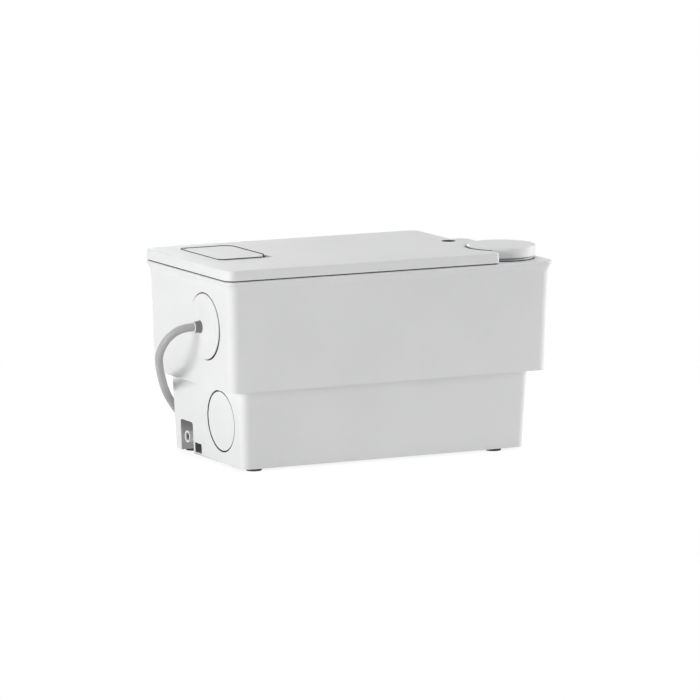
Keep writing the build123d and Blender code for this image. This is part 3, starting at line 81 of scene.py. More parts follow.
MIDDLE = (0, 0, 0.11)
softbox("left_box", (-2.6, -0.7, 0.30), MIDDLE, 1.3, 53.5)
softbox("top_box", (0.2, -0.1, 2.6), MIDDLE, 1.8, 17)
softbox("front_box", (0.6, -3.2, 0.35), MIDDLE, 1.4, 1)
softbox("right_box", (2.7, -0.6, 0.30), MIDDLE, 1.3, 56)
softbox("back_box", (0.4, 3.0, 0.5), MIDDLE, 1.4, 33)


# Floor and background
# A wide white sheet that keeps the unit's soft shadow near it and is plain white further out, and a white
# room round it.
class Wire:
    """One output of a shader node. Python's operators on it add Math nodes."""

    def __init__(self, finish, socket):
        self.finish = finish
        self.socket = socket

    def maths(self, operation, first, second):
        return self.finish.node("ShaderNodeMath", {"operation": operation}, {0: first, 1: second})

    def __add__(self, other):
        return self.maths("ADD", self, other)

    __radd__ = __add__

    def __mul__(self, other):
        return self.maths("MULTIPLY", self, other)

    __rmul__ = __mul__

    def __gt__(self, other):
        return self.maths("GREATER_THAN", self, other)

    def clamped(self, low, high):
        """Brings the span from low to high onto 0 to 1, smoothly."""
        settings = {"interpolation_type": "SMOOTHSTEP"}
        return self.finish.node("ShaderNodeMapRange", settings,
                                {"Value": self, "From Min": low, "From Max": high})


class Finish:
    """One material's node tree, with its main shader ready."""

    def __init__(self, name, colour, roughness, **shader_values):
        self.material = bpy.data.materials.new(name)
        self.material.use_nodes = True
        self.tree = self.material.node_tree
        self.shader = self.tree.nodes["Principled BSDF"]
        self.give({"Base Color": colour, "Roughness": roughness})
        self.give({key.replace("_", " "): value for key, value in shader_values.items()})
        self.material.diffuse_color = (*colour, 1)

    def connect(self, target, value):
        """Links a wire to a socket, or sets the socket's own value."""
        if isinstance(value, Wire):
            self.tree.links.new(value.socket, target)
        elif hasattr(value, "__len__") and len(value) == 3 and len(target.default_value) == 4:
            target.default_value = (*value, 1)
        else:
            target.default_value = value

    def node(self, kind, settings=None, inputs=None, output=0):
        """A node of any type, with its settings and inputs, as the wire of one output."""
        made = self.tree.nodes.new(kind)
        for key, value in (settings or {}).items():
            setattr(made, key, value)
        for key, value in (inputs or {}).items():
            self.connect(made.inputs[key], value)
        return Wire(self, made.outputs[output])

    def give(self, inputs):
        """Sets inputs of the main shader."""
        for key, value in inputs.items():
            self.connect(self.shader.inputs[key], value)

    def place(self):
        """Object coordinates."""
        return self.node("ShaderNodeTexCoord", output="Object")

    def noise(self, scale, detail=2.0, roughness=0.5):
        return self.node("ShaderNodeTexNoise", None, {"Vector": self.place(), "Scale": scale,
                                                      "Detail": detail, "Roughness": roughness})

    def mixed(self, factor, first, second):
        """A colour between two colours."""
        made = self.tree.nodes.new("ShaderNodeMix")
        made.data_type = "RGBA"
        for key, value in ((0, factor), (6, first), (7, second)):
            self.connect(made.inputs[key], value)
        return Wire(self, made.outputs[2])

    def bump(self, height, distance):
        """A relief of a height in metres."""
        self.give({"Normal": self.node("ShaderNodeBump", None, {"Height": height, "Distance": distance})})


def white_surface(tree, shown, ambient):
    """Shows white to the camera and in reflections, and something else to the light that falls."""
    path = tree.nodes.new("ShaderNodeLightPath")
    seen = tree.nodes.new("ShaderNodeMath")
    seen.operation = "MAXIMUM"
    tree.links.new(path.outputs["Is Camera Ray"], seen.inputs[0])
    tree.links.new(path.outputs["Is Transmission Ray"], seen.inputs[1])
    either = tree.nodes.new("ShaderNodeMath")
    either.operation = "MAXIMUM"
    tree.links.new(seen.outputs[0], either.inputs[0])
    tree.links.new(path.outputs["Is Glossy Ray"], either.inputs[1])
    mix = tree.nodes.new("ShaderNodeMixShader")
    tree.links.new(either.outputs[0], mix.inputs[0])
    tree.links.new(ambient, mix.inputs[1])
    tree.links.new(shown, mix.inputs[2])
    return mix.outputs[0]


AMBIENT = 0.30
FLOOR_SIZE = 20
FLOOR_GLOW = 0.86
SHADOW_GREY = 0.24
SHADOW_REACH = (0.32, 0.75)
world = bpy.data.worlds.new("studio")
bpy.context.scene.world = world
world.use_nodes = True
world_tree = world.node_tree
dim = world_tree.nodes["Background"]
dim.inputs["Color"].default_value = (1, 1, 1, 1)
dim.inputs["Strength"].default_value = AMBIENT
bright = world_tree.nodes.new("ShaderNodeBackground")
bright.inputs["Color"].default_value = (1, 1, 1, 1)
world_tree.links.new(white_surface(world_tree, bright.outputs[0], dim.outputs[0]),
                     world_tree.nodes["World Output"].inputs["Surface"])

sheet = Finish("white_floor", (0.9, 0.9, 0.9), 0.9)
matte = sheet.tree.nodes.new("ShaderNodeBsdfDiffuse")
matte.inputs["Color"].default_value = (0.95, 0.95, 0.95, 1)
shaded = sheet.tree.nodes.new("ShaderNodeBsdfDiffuse")
shaded.inputs["Color"].default_value = (SHADOW_GREY, SHADOW_GREY, SHADOW_GREY, 1)
glow = sheet.tree.nodes.new("ShaderNodeEmission")
glow.inputs["Color"].default_value = (1, 1, 1, 1)
glow.inputs["Strength"].default_value = FLOOR_GLOW
plain = sheet.tree.nodes.new("ShaderNodeEmission")
plain.inputs["Color"].default_value = (1, 1, 1, 1)
near = sheet.tree.nodes.new("ShaderNodeAddShader")
sheet.tree.links.new(glow.outputs[0], near.inputs[0])
sheet.tree.links.new(shaded.outputs[0], near.inputs[1])
away = sheet.node("ShaderNodeVectorMath", {"operation": "LENGTH"}, {0: sheet.place()}, output=1)
shown_floor = sheet.tree.nodes.new("ShaderNodeMixShader")
sheet.connect(shown_floor.inputs[0], away.clamped(*SHADOW_REACH))
sheet.tree.links.new(near.outputs[0], shown_floor.inputs[1])
sheet.tree.links.new(plain.outputs[0], shown_floor.inputs[2])
sheet.tree.links.new(white_surface(sheet.tree, shown_floor.outputs[0], matte.outputs[0]),
                     sheet.tree.nodes["Material Output"].inputs["Surface"])


def object_of(mesh, name, *materials):
    """Turns a finished bmesh into an object with its materials."""
    data = bpy.data.meshes.new(name)
    mesh.to_mesh(data)
    mesh.free()
    for material in materials:
        data.materials.append(material)
    made = bpy.data.objects.new(name, data)
    bpy.context.scene.collection.objects.link(made)
    return made


floor_mesh = bmesh.new()
bmesh.ops.create_grid(floor_mesh, x_segments=1, y_segments=1, size=FLOOR_SIZE)
floor = object_of(floor_mesh, "floor", sheet.material)


# Mains cord
# A round rubber cord, 8.8 mm thick. It leaves the cable entry, hangs down the left end, goes round the
# back corner of the tank to the floor, and its spare length is coiled behind the tank, 3.5 turns.
CORD_RADIUS = 4.4
GLAND_END = (-209.2, -40.3, 155.0)
COIL_MIDDLE = (17.0, 180.5)
COIL_RADIUS = 58.0
COIL_PITCH = 9.6
COIL_LAYER = 9.3
CORD_STRAIGHT = 10.0
POINTS_PER_HALF_TURN = 8
TURNS_INWARD = 3
cord_route = [
    GLAND_END,
    (-217.4, -40.3, 155.0),
    (-228.4, -38.8, 151.8),
    (-236.3, -34.6, 144.6),
    (-240.7, -27.4, 133.5),
    (-239.3, -16.5, 120.0),
    (-232.1, -4.0, 108.5),
    (-223.9, 12.0, 99.8),
    (-212.3, 34.0, 91.0),
    (-199.2, 59.0, 81.5),
    (-184.2, 87.0, 70.0),
    (-167.6, 111.5, 54.5),
    (-149.0, 125.5, 34.5),
    (-125.0, 131.0, 15.5),
    (-95.0, 131.0, CORD_RADIUS),
    (-60.0, 127.5, CORD_RADIUS),
    (-29.0, 122.5, CORD_RADIUS),
    (COIL_MIDDLE[0] - CORD_STRAIGHT, COIL_MIDDLE[1] - COIL_RADIUS, CORD_RADIUS),
]


def coil_points():
    """Half turns that wind in on the floor, climb a layer and wind out again on top.

    The smooth curve runs a little inside its control points, so these stand outside the turn by the swell.
    """
    step = COIL_PITCH / 2
    inward = [COIL_RADIUS - step * i for i in range(TURNS_INWARD)]
    half_turns = [(r, 0, 0) for r in inward] + [(COIL_RADIUS - TURNS_INWARD * step, 0, COIL_LAYER)]
    half_turns += [(r, COIL_LAYER, COIL_LAYER) for r in reversed(inward)]
    spread = pi / POINTS_PER_HALF_TURN
    swell = 1 / (0.75 + 0.25 * cos(spread))
    place = Vector((COIL_MIDDLE[0], COIL_MIDDLE[1] - COIL_RADIUS))
    front = True
    points = []
    for radius, low, high in half_turns:
        centre = place + Vector((0, radius if front else -radius))
        start = -pi / 2 if front else pi / 2
        for j in range(POINTS_PER_HALF_TURN):
            share = (j + 0.5) / POINTS_PER_HALF_TURN
            angle = start + pi * share
            z = CORD_RADIUS + low + (high - low) * share
            points.append((centre.x + radius * swell * cos(angle), centre.y + radius * swell * sin(angle), z))
        place = 2 * centre - place
        front = not front
    points.append((place.x, place.y, CORD_RADIUS + COIL_LAYER))
    points.append((place.x - CORD_STRAIGHT, place.y, CORD_RADIUS + COIL_LAYER))
    return points


def nurbs(name, points, radius):
    """A smooth round cord along the points, which are in millimetres."""
    curve = bpy.data.curves.new(name, "CURVE")
    curve.dimensions = "3D"
    spline = curve.splines.new("NURBS")
    spline.points.add(len(points) - 1)
    for control, place in zip(spline.points, points):
        control.co = (*(point(*place)), 1)
    spline.order_u = 3
    spline.use_endpoint_u = True
    spline.resolution_u = 10
    curve.bevel_depth = radius * MM
    curve.bevel_resolution = 7
    curve.use_fill_caps = True
    made = bpy.data.objects.new(name, curve)
    bpy.context.scene.collection.objects.link(made)
    return made


cord_grey = Finish("cord_sheath", (0.42, 0.42, 0.415), 0.45)
faint = cord_grey.noise(60, 3)
cord_grey.give({"Base Color": cord_grey.mixed(faint, (0.39, 0.39, 0.385), (0.45, 0.45, 0.445))})
cord_grey.bump(cord_grey.noise(900, 2), 0.00003)
cord = nurbs("mains_cord", cord_route + coil_points(), CORD_RADIUS)
cord.data.materials.append(cord_grey.material)
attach(cord, "unit")
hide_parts("cord_free", "cord_coil")


# Tie of the coiled cord
# A reusable strap of soft black plastic, 9 mm wide and 1 mm thick, wrapped once round the turns at the right
# of the coil. A fine weave shows in its skin.
TIE_X = 70.2
TIE_Y = 185.0
TIE_HALF_WIDTH = 11.0
TIE_HALF_HEIGHT = 9.55
TIE_WIDTH = 9.0
TIE_THICKNESS = 1.0
TIE_CORNER = 5.0
TIE_LIFT = 0.05
strap = Finish("tie_strap", (0.03, 0.03, 0.033), 0.6)
weave = strap.node("ShaderNodeTexWave", {"wave_type": "BANDS", "bands_direction": "Y"},
                   {"Vector": strap.place(), "Scale": 320.0, "Distortion": 0.0})
strap.give({"Base Color": strap.mixed(strap.noise(500, 3), (0.022, 0.022, 0.025), (0.05, 0.05, 0.052))})
strap.bump(weave, 0.0002)


def smoothed(made, angle=35.0):
    """Smooth shading that keeps edges sharper than the angle, with flat faces left flat."""
    made.data.shade_smooth()
    made.data.set_sharp_from_angle(angle=radians(angle))
    weighting = made.modifiers.new("weighted", "WEIGHTED_NORMAL")
    weighting.keep_sharp = True
    return made


def band_edges(mesh, middle, half_width, half_height, corner, steps=6):
    """The edges of a closed ring in the XZ plane round a middle, with round corners."""
    ring = []
    for turn in range(4):
        angle = turn * pi / 2
        centre = Vector(((half_width - corner) * (1 if turn in (0, 3) else -1), 0,
                         (half_height - corner) * (1 if turn in (0, 1) else -1)))
        for j in range(steps + 1):
            a = angle + pi / 2 * j / steps
            ring.append(mesh.verts.new(middle + (centre + Vector((cos(a), 0, sin(a))) * corner) * MM))
    return [mesh.edges.new((ring[k], ring[(k + 1) % len(ring)])) for k in range(len(ring))]


tie_mesh = bmesh.new()
tie_middle = point(TIE_X, TIE_Y - TIE_WIDTH / 2, TIE_HALF_HEIGHT + TIE_LIFT)
tie_edges = band_edges(tie_mesh, tie_middle, TIE_HALF_WIDTH, TIE_HALF_HEIGHT, TIE_CORNER)
pulled = bmesh.ops.extrude_edge_only(tie_mesh, edges=tie_edges)
bmesh.ops.translate(tie_mesh, vec=point(0, TIE_WIDTH, 0),
                    verts=[v for v in pulled["geom"] if isinstance(v, bmesh.types.BMVert)])
bmesh.ops.recalc_face_normals(tie_mesh, faces=tie_mesh.faces)
bmesh.ops.solidify(tie_mesh, geom=tie_mesh.faces[:], thickness=-TIE_THICKNESS * MM)
bmesh.ops.recalc_face_normals(tie_mesh, faces=tie_mesh.faces)
tie = smoothed(object_of(tie_mesh, "coil_tie", strap.material))
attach(tie, "unit")


# Mains plug
# A round moulded plug of grey PVC with two brass pins, which rests on the floor at the end of the coil.
# It is moulded on the cord, with a flat side, and the pins are pressed in.
plug_skin = Finish("plug_moulding", (0.42, 0.42, 0.415), 0.4)
plug_skin.give({"Base Color": plug_skin.mixed(plug_skin.noise(40, 3), (0.39, 0.39, 0.385),
                                              (0.44, 0.44, 0.435))})
plug_skin.bump(plug_skin.noise(1600, 2), 0.00003)
pin_metal = Finish("bright_pins", (0.78, 0.72, 0.5), 0.22, Metallic=1.0)
pin_metal.give({"Roughness": pin_metal.noise(900, 3) * 0.16 + 0.16})


def dress(finish, *names):
    """Gives CAD pieces that stay as they are a finish of their own."""
    for name in names:
        nodes[name].material_slots[0].material = finish.material


dress(plug_skin, "mains_plug")
dress(pin_metal, "plug_pins")


# White plastic of the tank
# The tank is one moulded shell in two tiers with a flared rim. Its outer edges are softly rounded, and its
# skin has the fine matte grain of an etched mould, with slow changes of tone where the wall cooled.
# The seats round the port plug and the cable cover, the drain niche and the bracket slots are coloured darker
# as painted shade.
SHELL_LIGHT = (0.815, 0.817, 0.82)
SHELL_DARK = (0.785, 0.788, 0.792)
EDGE_ROUNDING = 0.9
WALL_EDGES = ((192.5, 99.5), 200.0)
FOOT_EDGES = ((150.0, 80.0), 3.1)
NICHE_ROUNDING = 3.0
NICHE = ((-185.0, 35.0, 2.5), (-140.0, 67.5, 38.0))
NICHE_TOP = 37.5
NICHE_WALLS = ((-172.1, 35.3, 0.0), (-148.4, 66.7, 37.7))
SLOT_WALLS = ((158.0, 15.0, 5.3), (172.3, 32.0, 16.5))
PORT_MIDDLE = (-37.1, 49.5)
COVER_MIDDLE = (-40.3, 155.0)
NOZZLE_MIDDLE = (53.0, 19.4)
NOZZLE_RADIUS = 7.2
POCKETS = ((PORT_MIDDLE, 34.0, -169.65), (COVER_MIDDLE, 37.0, -192.547))
POCKET_DEPTH = 8.0
GUARD_LOOPS = (4.6, 86.6, 91.4)


def moulded(name, light, dark, roughness, grain=0.00002, grain_scale=2400):
    """Moulded plastic: a slow change of tone, a fine grain and a slightly uneven gloss."""
    made = Finish(name, light, roughness)
    cloud = made.noise(9, 4, 0.55)
    made.give({"Base Color": made.mixed(cloud.clamped(0.3, 0.7), dark, light),
               "Roughness": made.noise(60, 3) * 0.08 + (roughness - 0.04)})
    made.bump(made.noise(grain_scale, 2, 0.6), grain)
    return made


def within(edge, low, high):
    """Whether both ends of an edge are inside a box given in millimetres."""
    return all(low[k] * MM - 1e-6 <= v.co[k] <= high[k] * MM + 1e-6 for v in edge.verts for k in range(3))


def inside(place, low, high):
    """Whether a place is inside a box, all of them in millimetres."""
    return all(low[k] < place[k] < high[k] for k in range(3))


def off(middle, axis):
    """How far a place is from an axis along X."""
    return hypot(middle.y - axis[0], middle.z - axis[1])


def past(axis, limit, side=1):
    """Picks the edges that lie wholly over a limit in millimetres along an axis, or with side -1 under it."""
    return lambda edge: all((v.co[axis] - limit * MM) * side > 0 for v in edge.verts)


def merged_copy(name):
    """A CAD piece's mesh with its loose triangles joined and its flat faces made whole."""
    mesh = bmesh.new()
    mesh.from_mesh(nodes[name].data)
    bmesh.ops.remove_doubles(mesh, verts=mesh.verts, dist=1e-6)
    bmesh.ops.dissolve_limit(mesh, angle_limit=radians(0.15), use_dissolve_boundaries=False,
                             verts=mesh.verts, edges=mesh.edges)
    return mesh


def sharp(mesh, angle=35.0, chosen=None):
    """Edges sharper than the angle, or those of them that are chosen."""
    limit = radians(angle)
    return [e for e in mesh.edges if e.is_manifold and e.calc_face_angle() > limit
            and (chosen is None or chosen(e))]


def rounded(mesh, edges, width, segments=3):
    """Rounds edges of a mesh by a width in millimetres."""
    bmesh.ops.bevel(mesh, geom=edges, offset=width * MM, offset_type="OFFSET", segments=segments,
                    profile=0.5, affect="EDGES", clamp_overlap=True, material=-1)


def painted(mesh, rules):
    """Gives a face the number of the first rule that it meets; rules take its middle and its normal."""
    for face in mesh.faces:
        middle = face.calc_center_median() / MM
        for number, rule in enumerate(rules, 1):
            if rule(middle, face.normal):
                face.material_index = number
                break


def softened(node, name, finish, width=0.5, angle=35.0, body="unit", chosen=None, others=(),
             rules=(), cuts=()):
    """A copy of a CAD piece with rounded edges, which stands for it."""
    mesh = merged_copy(node)
    rounded(mesh, sharp(mesh, angle, chosen), width)
    for z in cuts:
        bmesh.ops.bisect_plane(mesh, geom=mesh.verts[:] + mesh.edges[:] + mesh.faces[:],
                               plane_co=point(0, 0, z), plane_no=(0, 0, 1))
    mesh.normal_update()
    painted(mesh, rules)
    made = smoothed(object_of(mesh, name, finish.material, *[other.material for other in others]))
    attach(made, body)
    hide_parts(node)
    return made


shell_white = moulded("shell_white", SHELL_LIGHT, SHELL_DARK, 0.5)
# Painted shade: a grey that stands in for the shade inside the drain niche, a near-black for the shade in
# gaps, notches and seats, and a darker grey for the shade inside the bracket slots.
painted_shade_grey = moulded("painted_shade_grey", (0.3, 0.3, 0.302), (0.26, 0.26, 0.262), 0.6)
painted_shade_dark = moulded("painted_shade_dark", (0.05, 0.05, 0.051), (0.04, 0.04, 0.041), 0.7)
painted_slot_shade = moulded("painted_slot_shade", (0.16, 0.16, 0.162), (0.13, 0.13, 0.132), 0.6)
tank_mesh = merged_copy("tank")


def niche_top_edge(edge):
    """Whether an edge runs along X at the top of the drain niche."""
    first, second = edge.verts
    return (within(edge, *NICHE) and abs(first.co.z - second.co.z) < 1e-5
            and abs(first.co.z - NICHE_TOP * MM) < 1e-4 and abs(first.co.y - second.co.y) < 1e-5)


def outside(plan, top):
    """Picks the edges that lie wholly outside a rectangle seen from above, and below a height."""
    return lambda edge: all((abs(v.co.x) > plan[0] * MM or abs(v.co.y) > plan[1] * MM) and v.co.z < top * MM
                            for v in edge.verts)


rounded(tank_mesh, sharp(tank_mesh, 60, niche_top_edge), NICHE_ROUNDING, 5)
outer_edges = dict.fromkeys(sharp(tank_mesh, 35, outside(*WALL_EDGES))
                            + sharp(tank_mesh, 35, outside(*FOOT_EDGES)))
for z in GUARD_LOOPS:
    bmesh.ops.bisect_plane(tank_mesh, geom=tank_mesh.verts[:] + tank_mesh.edges[:] + tank_mesh.faces[:],
                           plane_co=point(0, 0, z), plane_no=(0, 0, 1))
rounded(tank_mesh, [e for e in outer_edges if e.is_valid], EDGE_ROUNDING)
tank_mesh.normal_update()


def pocket_shade_mask(c, n):
    """Whether a face is in the wall or the floor of the pocket round the port plug or the cable cover, which
    is painted near-black as shade in the gap.
    """
    for axis, radius, seat in POCKETS:
        wall = abs(off(c, axis) - radius) < 0.4 and abs(n.x) < 0.2 and seat - POCKET_DEPTH < c.x < seat + 0.1
        ground = abs(c.x - seat) < 0.06 and off(c, axis) < radius + 0.5 and n.x < -0.9
        if wall or ground:
            return True
    return False


# Painted shade: the pocket rings near-black, the walls of the drain niche grey and the walls of the bracket
# slots darker grey.
painted(tank_mesh, [
    pocket_shade_mask,
    lambda c, n: inside(c, *NICHE_WALLS) and off(c, NOZZLE_MIDDLE) > NOZZLE_RADIUS,
    lambda c, n: inside((abs(c.x), c.y, c.z), *SLOT_WALLS),
])
tank = smoothed(object_of(tank_mesh, "tank_shell", shell_white.material, painted_shade_dark.material,
                          painted_shade_grey.material, painted_slot_shade.material))
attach(tank, "unit")
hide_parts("tank")


# Feet
# Four round feet of black rubber, pressed into blind holes in the floor of the tank. The rubber has a dull,
# finely pitted skin with a faint grey bloom.
rubber = Finish("black_rubber", (0.028, 0.028, 0.03), 0.62)
bloom = rubber.noise(300, 4).clamped(0.35, 0.75)
rubber.give({"Base Color": rubber.mixed(bloom, (0.02, 0.02, 0.022), (0.05, 0.05, 0.052)),
             "Roughness": rubber.noise(180, 3) * 0.2 + 0.52})
rubber.bump(rubber.noise(1500, 3), 0.00005)
softened("feet", "rubber_feet", rubber, 0.6)


# Cover frame, its seal and screws
# The white deck at the rim of the tank, which carries the lid and the outlet fitting. It is moulded in the
# same white as the tank and screwed down on a rubber seal by six screws under the lid.
FRAME_EDGE = 209.5
softened("cover_frame", "cover_frame_deck", shell_white, 0.5, chosen=past(2, FRAME_EDGE))
dress(rubber, "frame_seal")
steel = Finish("screw_steel", (0.6, 0.61, 0.63), 0.3, Metallic=1.0)
steel.give({"Roughness": steel.noise(700, 4) * 0.25 + 0.2})
steel.bump(steel.noise(1800, 2), 0.00002)
dress(steel, "frame_screws", "lid_screw", "hatch_pins")


# Lid and its seal
# A flat lid of satin white plastic, with soft top edges, a well for the hatch, a finger notch, a round
# cut-out at the outlet cap and a counterbored boss for its screw. It rests on a strip of black rubber.
LID_EDGE = 222.5
NOTCH_WALLS = ((-118.8, -24.6, 212.0), (-104.9, -0.3, 222.9))
SCREW_PLACE = (126.0, 6.5)
SCREW_BORE = 8.4
SCREW_FLOOR = 217.0
lid_white = moulded("lid_white", SHELL_LIGHT, SHELL_DARK, 0.46)


def beside(middle, axis):
    """How far a place is from an upright axis."""
    return hypot(middle.x - axis[0], middle.y - axis[1])


def lid_recess_shade(c, n):
    """Whether a face is in the finger notch or in the wall of the screw's counterbore, which are painted
    near-black as shade.
    """
    return inside(c, *NOTCH_WALLS) or (beside(c, SCREW_PLACE) < SCREW_BORE and abs(n.z) < 0.3
                                       and c.z > SCREW_FLOOR)


# Painted shade: the walls of the finger notch and of the screw's counterbore are coloured near-black.
softened("lid", "lid_cover", lid_white, 0.35, 40, chosen=past(2, LID_EDGE),
         others=(painted_shade_dark,), rules=[lid_recess_shade])
dress(rubber, "lid_seal")


# Hatch over the filter
# A small flat door flush with the lid, with soft edges and one cut corner for the finger. It turns on two
# short steel pins, and its left corners are eased so that they clear the lid when it swings. A black rubber
# lip on the edge of the lid's opening fills the gap round the door and stands in for the shade lines round
# it;
# it stands taller at the front, where that line of shade is thicker.
DOOR_LEFT, DOOR_RIGHT, DOOR_FRONT, DOOR_BACK = -168.0, -106.0, -23.5, 81.5
DOOR_CORNER = 11.0
DOOR_CORNERS = ((DOOR_LEFT + DOOR_CORNER, DOOR_FRONT + DOOR_CORNER),
                (DOOR_LEFT + DOOR_CORNER, DOOR_BACK - DOOR_CORNER),
                (DOOR_RIGHT - DOOR_CORNER, DOOR_BACK - DOOR_CORNER))
DOOR_EASING = 0.8
EASED_BEYOND = 9.2
EASED_ABOVE = 218.0
door = softened("hatch", "hatch_door", lid_white, 0.35, 40, body="hatch_body",
                chosen=past(2, LID_EDGE))
for (middle_x, middle_y), side in zip(DOOR_CORNERS, (-1, 1)):
    for v in door.data.vertices:
        x, y, z = v.co / MM
        dx, dy = x - middle_x, y - middle_y
        reach = hypot(dx, dy)
        if dx < 0 and dy * side > 0 and reach > EASED_BEYOND and z > EASED_ABOVE:
            inward = 1 - DOOR_EASING * (2 * dx * dy / reach ** 2) ** 2 / reach
            v.co = point(middle_x + dx * inward, middle_y + dy * inward, z)

FINGER_X = 12.5
FINGER_Y = 23.0
LID_TOP = 223.2
LIP_INNER, LIP_OUTER, LIP_DEPTH = 0.2, 0.95, 1.0
LIP_BEVEL, LIP_BEVEL_HEIGHT = 0.2, 0.3
LIP_HEIGHT = 0.65
# Extra height of the lip at the front, so that the dark lip shows as a thicker line of shade there.
LIP_FRONT_SHADE_EXTRA = 0.55
LIP_CLEAR = 1.7
LIP_STEPS = 10
lip_path = [(DOOR_RIGHT - FINGER_X, DOOR_FRONT, 0, -1)]
for (middle_x, middle_y), start in zip(DOOR_CORNERS, (-90, -180, -270)):
    for j in range(LIP_STEPS + 1):
        a = radians(start - 90 * j / LIP_STEPS)
        lip_path.append((middle_x + DOOR_CORNER * cos(a), middle_y + DOOR_CORNER * sin(a), cos(a), sin(a)))
lip_path.append((DOOR_RIGHT, DOOR_FRONT + FINGER_Y, 1, 0))
lip_mesh = bmesh.new()
sections = []
for x, y, nx, ny in lip_path:
    foot = LID_TOP - LIP_DEPTH
    top = LID_TOP + LIP_HEIGHT + LIP_FRONT_SHADE_EXTRA * max(0.0, -ny)
    outline = [(LIP_INNER, foot), (LIP_INNER, top - LIP_BEVEL_HEIGHT), (LIP_INNER + LIP_BEVEL, top),
               (LIP_OUTER - LIP_BEVEL, top), (LIP_OUTER, top - LIP_BEVEL_HEIGHT), (LIP_OUTER, foot)]
    swing = LIP_CLEAR * (2 * nx * ny) ** 2 if nx < 0 else 0.0
    sections.append([lip_mesh.verts.new(point(x + nx * (t + swing), y + ny * (t + swing), z))
                     for t, z in outline])
for here, there in zip(sections, sections[1:]):
    for k in range(6):
        lip_mesh.faces.new((here[k], there[k], there[(k + 1) % 6], here[(k + 1) % 6]))
lip_mesh.faces.new(sections[0])
lip_mesh.faces.new(sections[-1])
bmesh.ops.recalc_face_normals(lip_mesh, faces=lip_mesh.faces)
# The black lip stands in for the shade lines in the gap round the door.
lip = smoothed(object_of(lip_mesh, "hatch_lip_and_shade_line", rubber.material), 60)
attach(lip, "unit")


# Outlet cap and its fitting
# The cap is a low round lid of satin white plastic that drops over the collar of the fitting. The fitting,
# of grey-white polypropylene, carries the socket for the pressure pipe and a side spigot for the hose. A thin
# rubber ring lies round its foot on the deck, and being black it also stands in for the shade line there.
CAP_MIDDLE = (158.0, -57.5)
CAP_FOOT = 214.3
CAP_LOWER_EDGE = 214.5
COLLAR_TOP = 212.95
COLLAR_UPPER_EDGE = 212.5
COLLAR_OUTSIDE = 33.0
GASKET_PROFILE = ((35.55, 210.52), (36.35, 210.52), (36.35, 211.0), (35.55, 211.3))
ROUND_STEPS = 96
cap_white = moulded("cap_white", SHELL_LIGHT, SHELL_DARK, 0.42)
# Painted shade: the cap's side towards the lid, below the lid's top, and its foot are coloured near-black.
softened("outlet_cap", "outlet_cap_shell", cap_white, 0.3, 50, body="cap_body",
         chosen=past(2, CAP_LOWER_EDGE, -1), others=(painted_shade_dark,), cuts=(LID_TOP,),
         rules=[lambda c, n: (c.z < LID_TOP and n.x < -0.7) or c.z < CAP_FOOT])
inner_plastic = moulded("grey_white_plastic", (0.6, 0.615, 0.63), (0.55, 0.565, 0.58), 0.45)
# Painted shade: the outer part of the collar's top, under the cap, is coloured near-black.
softened("outlet_fitting", "outlet_fitting_collar", inner_plastic, 0.4, 50,
         chosen=past(2, COLLAR_UPPER_EDGE), others=(painted_shade_dark,),
         rules=[lambda c, n: c.z > COLLAR_TOP and beside(c, CAP_MIDDLE) > COLLAR_OUTSIDE])


def spun(name, outline, centre, axis, steps, finish, others=(), rules=()):
    """A round piece, spun from a closed outline of places in millimetres about an axis through the centre."""
    mesh = bmesh.new()
    ring = [mesh.verts.new(point(*place)) for place in outline]
    edges = [mesh.edges.new((ring[k], ring[(k + 1) % len(ring)])) for k in range(len(ring))]
    bmesh.ops.spin(mesh, geom=ring + edges, cent=point(*centre), axis=axis, angle=2 * pi, steps=steps,
                   use_merge=True)
    bmesh.ops.remove_doubles(mesh, verts=mesh.verts, dist=1e-6)
    bmesh.ops.recalc_face_normals(mesh, faces=mesh.faces)
    painted(mesh, rules)
    return smoothed(object_of(mesh, name, finish.material, *[other.material for other in others]))


# A black rubber ring at the collar's foot, which also stands in for the shade line there.
gasket = spun("collar_gasket_shade_line", [(CAP_MIDDLE[0] + radius, CAP_MIDDLE[1], z) for radius, z in GASKET_PROFILE],
              (*CAP_MIDDLE, 0), (0, 0, 1), ROUND_STEPS, rubber)
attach(gasket, "unit")


# Cable cover, its seal and nut
# A round white cover on the left end. It rises in a smooth low cone to the nut that grips the cable sleeve,
# and it is clipped into a shallow seat on a foam seal.
COVER_SEAT_TOP = -195.6
COVER_RIM = 35.0
cover_profile = [
    (35.8, -193.5), (35.8, -195.2), (35.8, -196.1), (35.6, -196.45), (35.2, -196.65), (34.5, -196.75),
    (30.5, -196.85), (26.5, -197.1), (22.5, -197.5), (19.0, -198.1), (16.0, -198.8), (13.5, -199.5),
    (11.5, -200.2), (10.2, -200.75), (9.2, -201.1), (8.6, -201.3), (7.9, -201.4), (7.2, -201.3),
    (6.9, -201.15), (8.4, -201.12), (10.4, -199.2), (10.4, -193.5),
]


def turned(name, profile, finish, steps, others=(), rules=()):
    """A round piece about the cover's axis, spun from a closed profile of (radius, x) in millimetres."""
    y, z = COVER_MIDDLE
    return spun(name, [(x, y, z + radius) for radius, x in profile], (0, y, z), (1, 0, 0), steps, finish,
                others, rules)


def sunk_edge_shade(c, n):
    """The part of the cover's rim that lies in its seat, which is painted near-black as shade in the gap."""
    return c.x > COVER_SEAT_TOP and off(c, COVER_MIDDLE) > COVER_RIM


# Painted shade: the cover's rim down in its seat is coloured near-black.
cover = turned("cable_cover_dome", cover_profile, cap_white, ROUND_STEPS, (painted_shade_dark,), (sunk_edge_shade,))
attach(cover, "unit")
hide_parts("cable_cover")
dress(rubber, "cable_cover_seal")
dress(cap_white, "gland_nut")


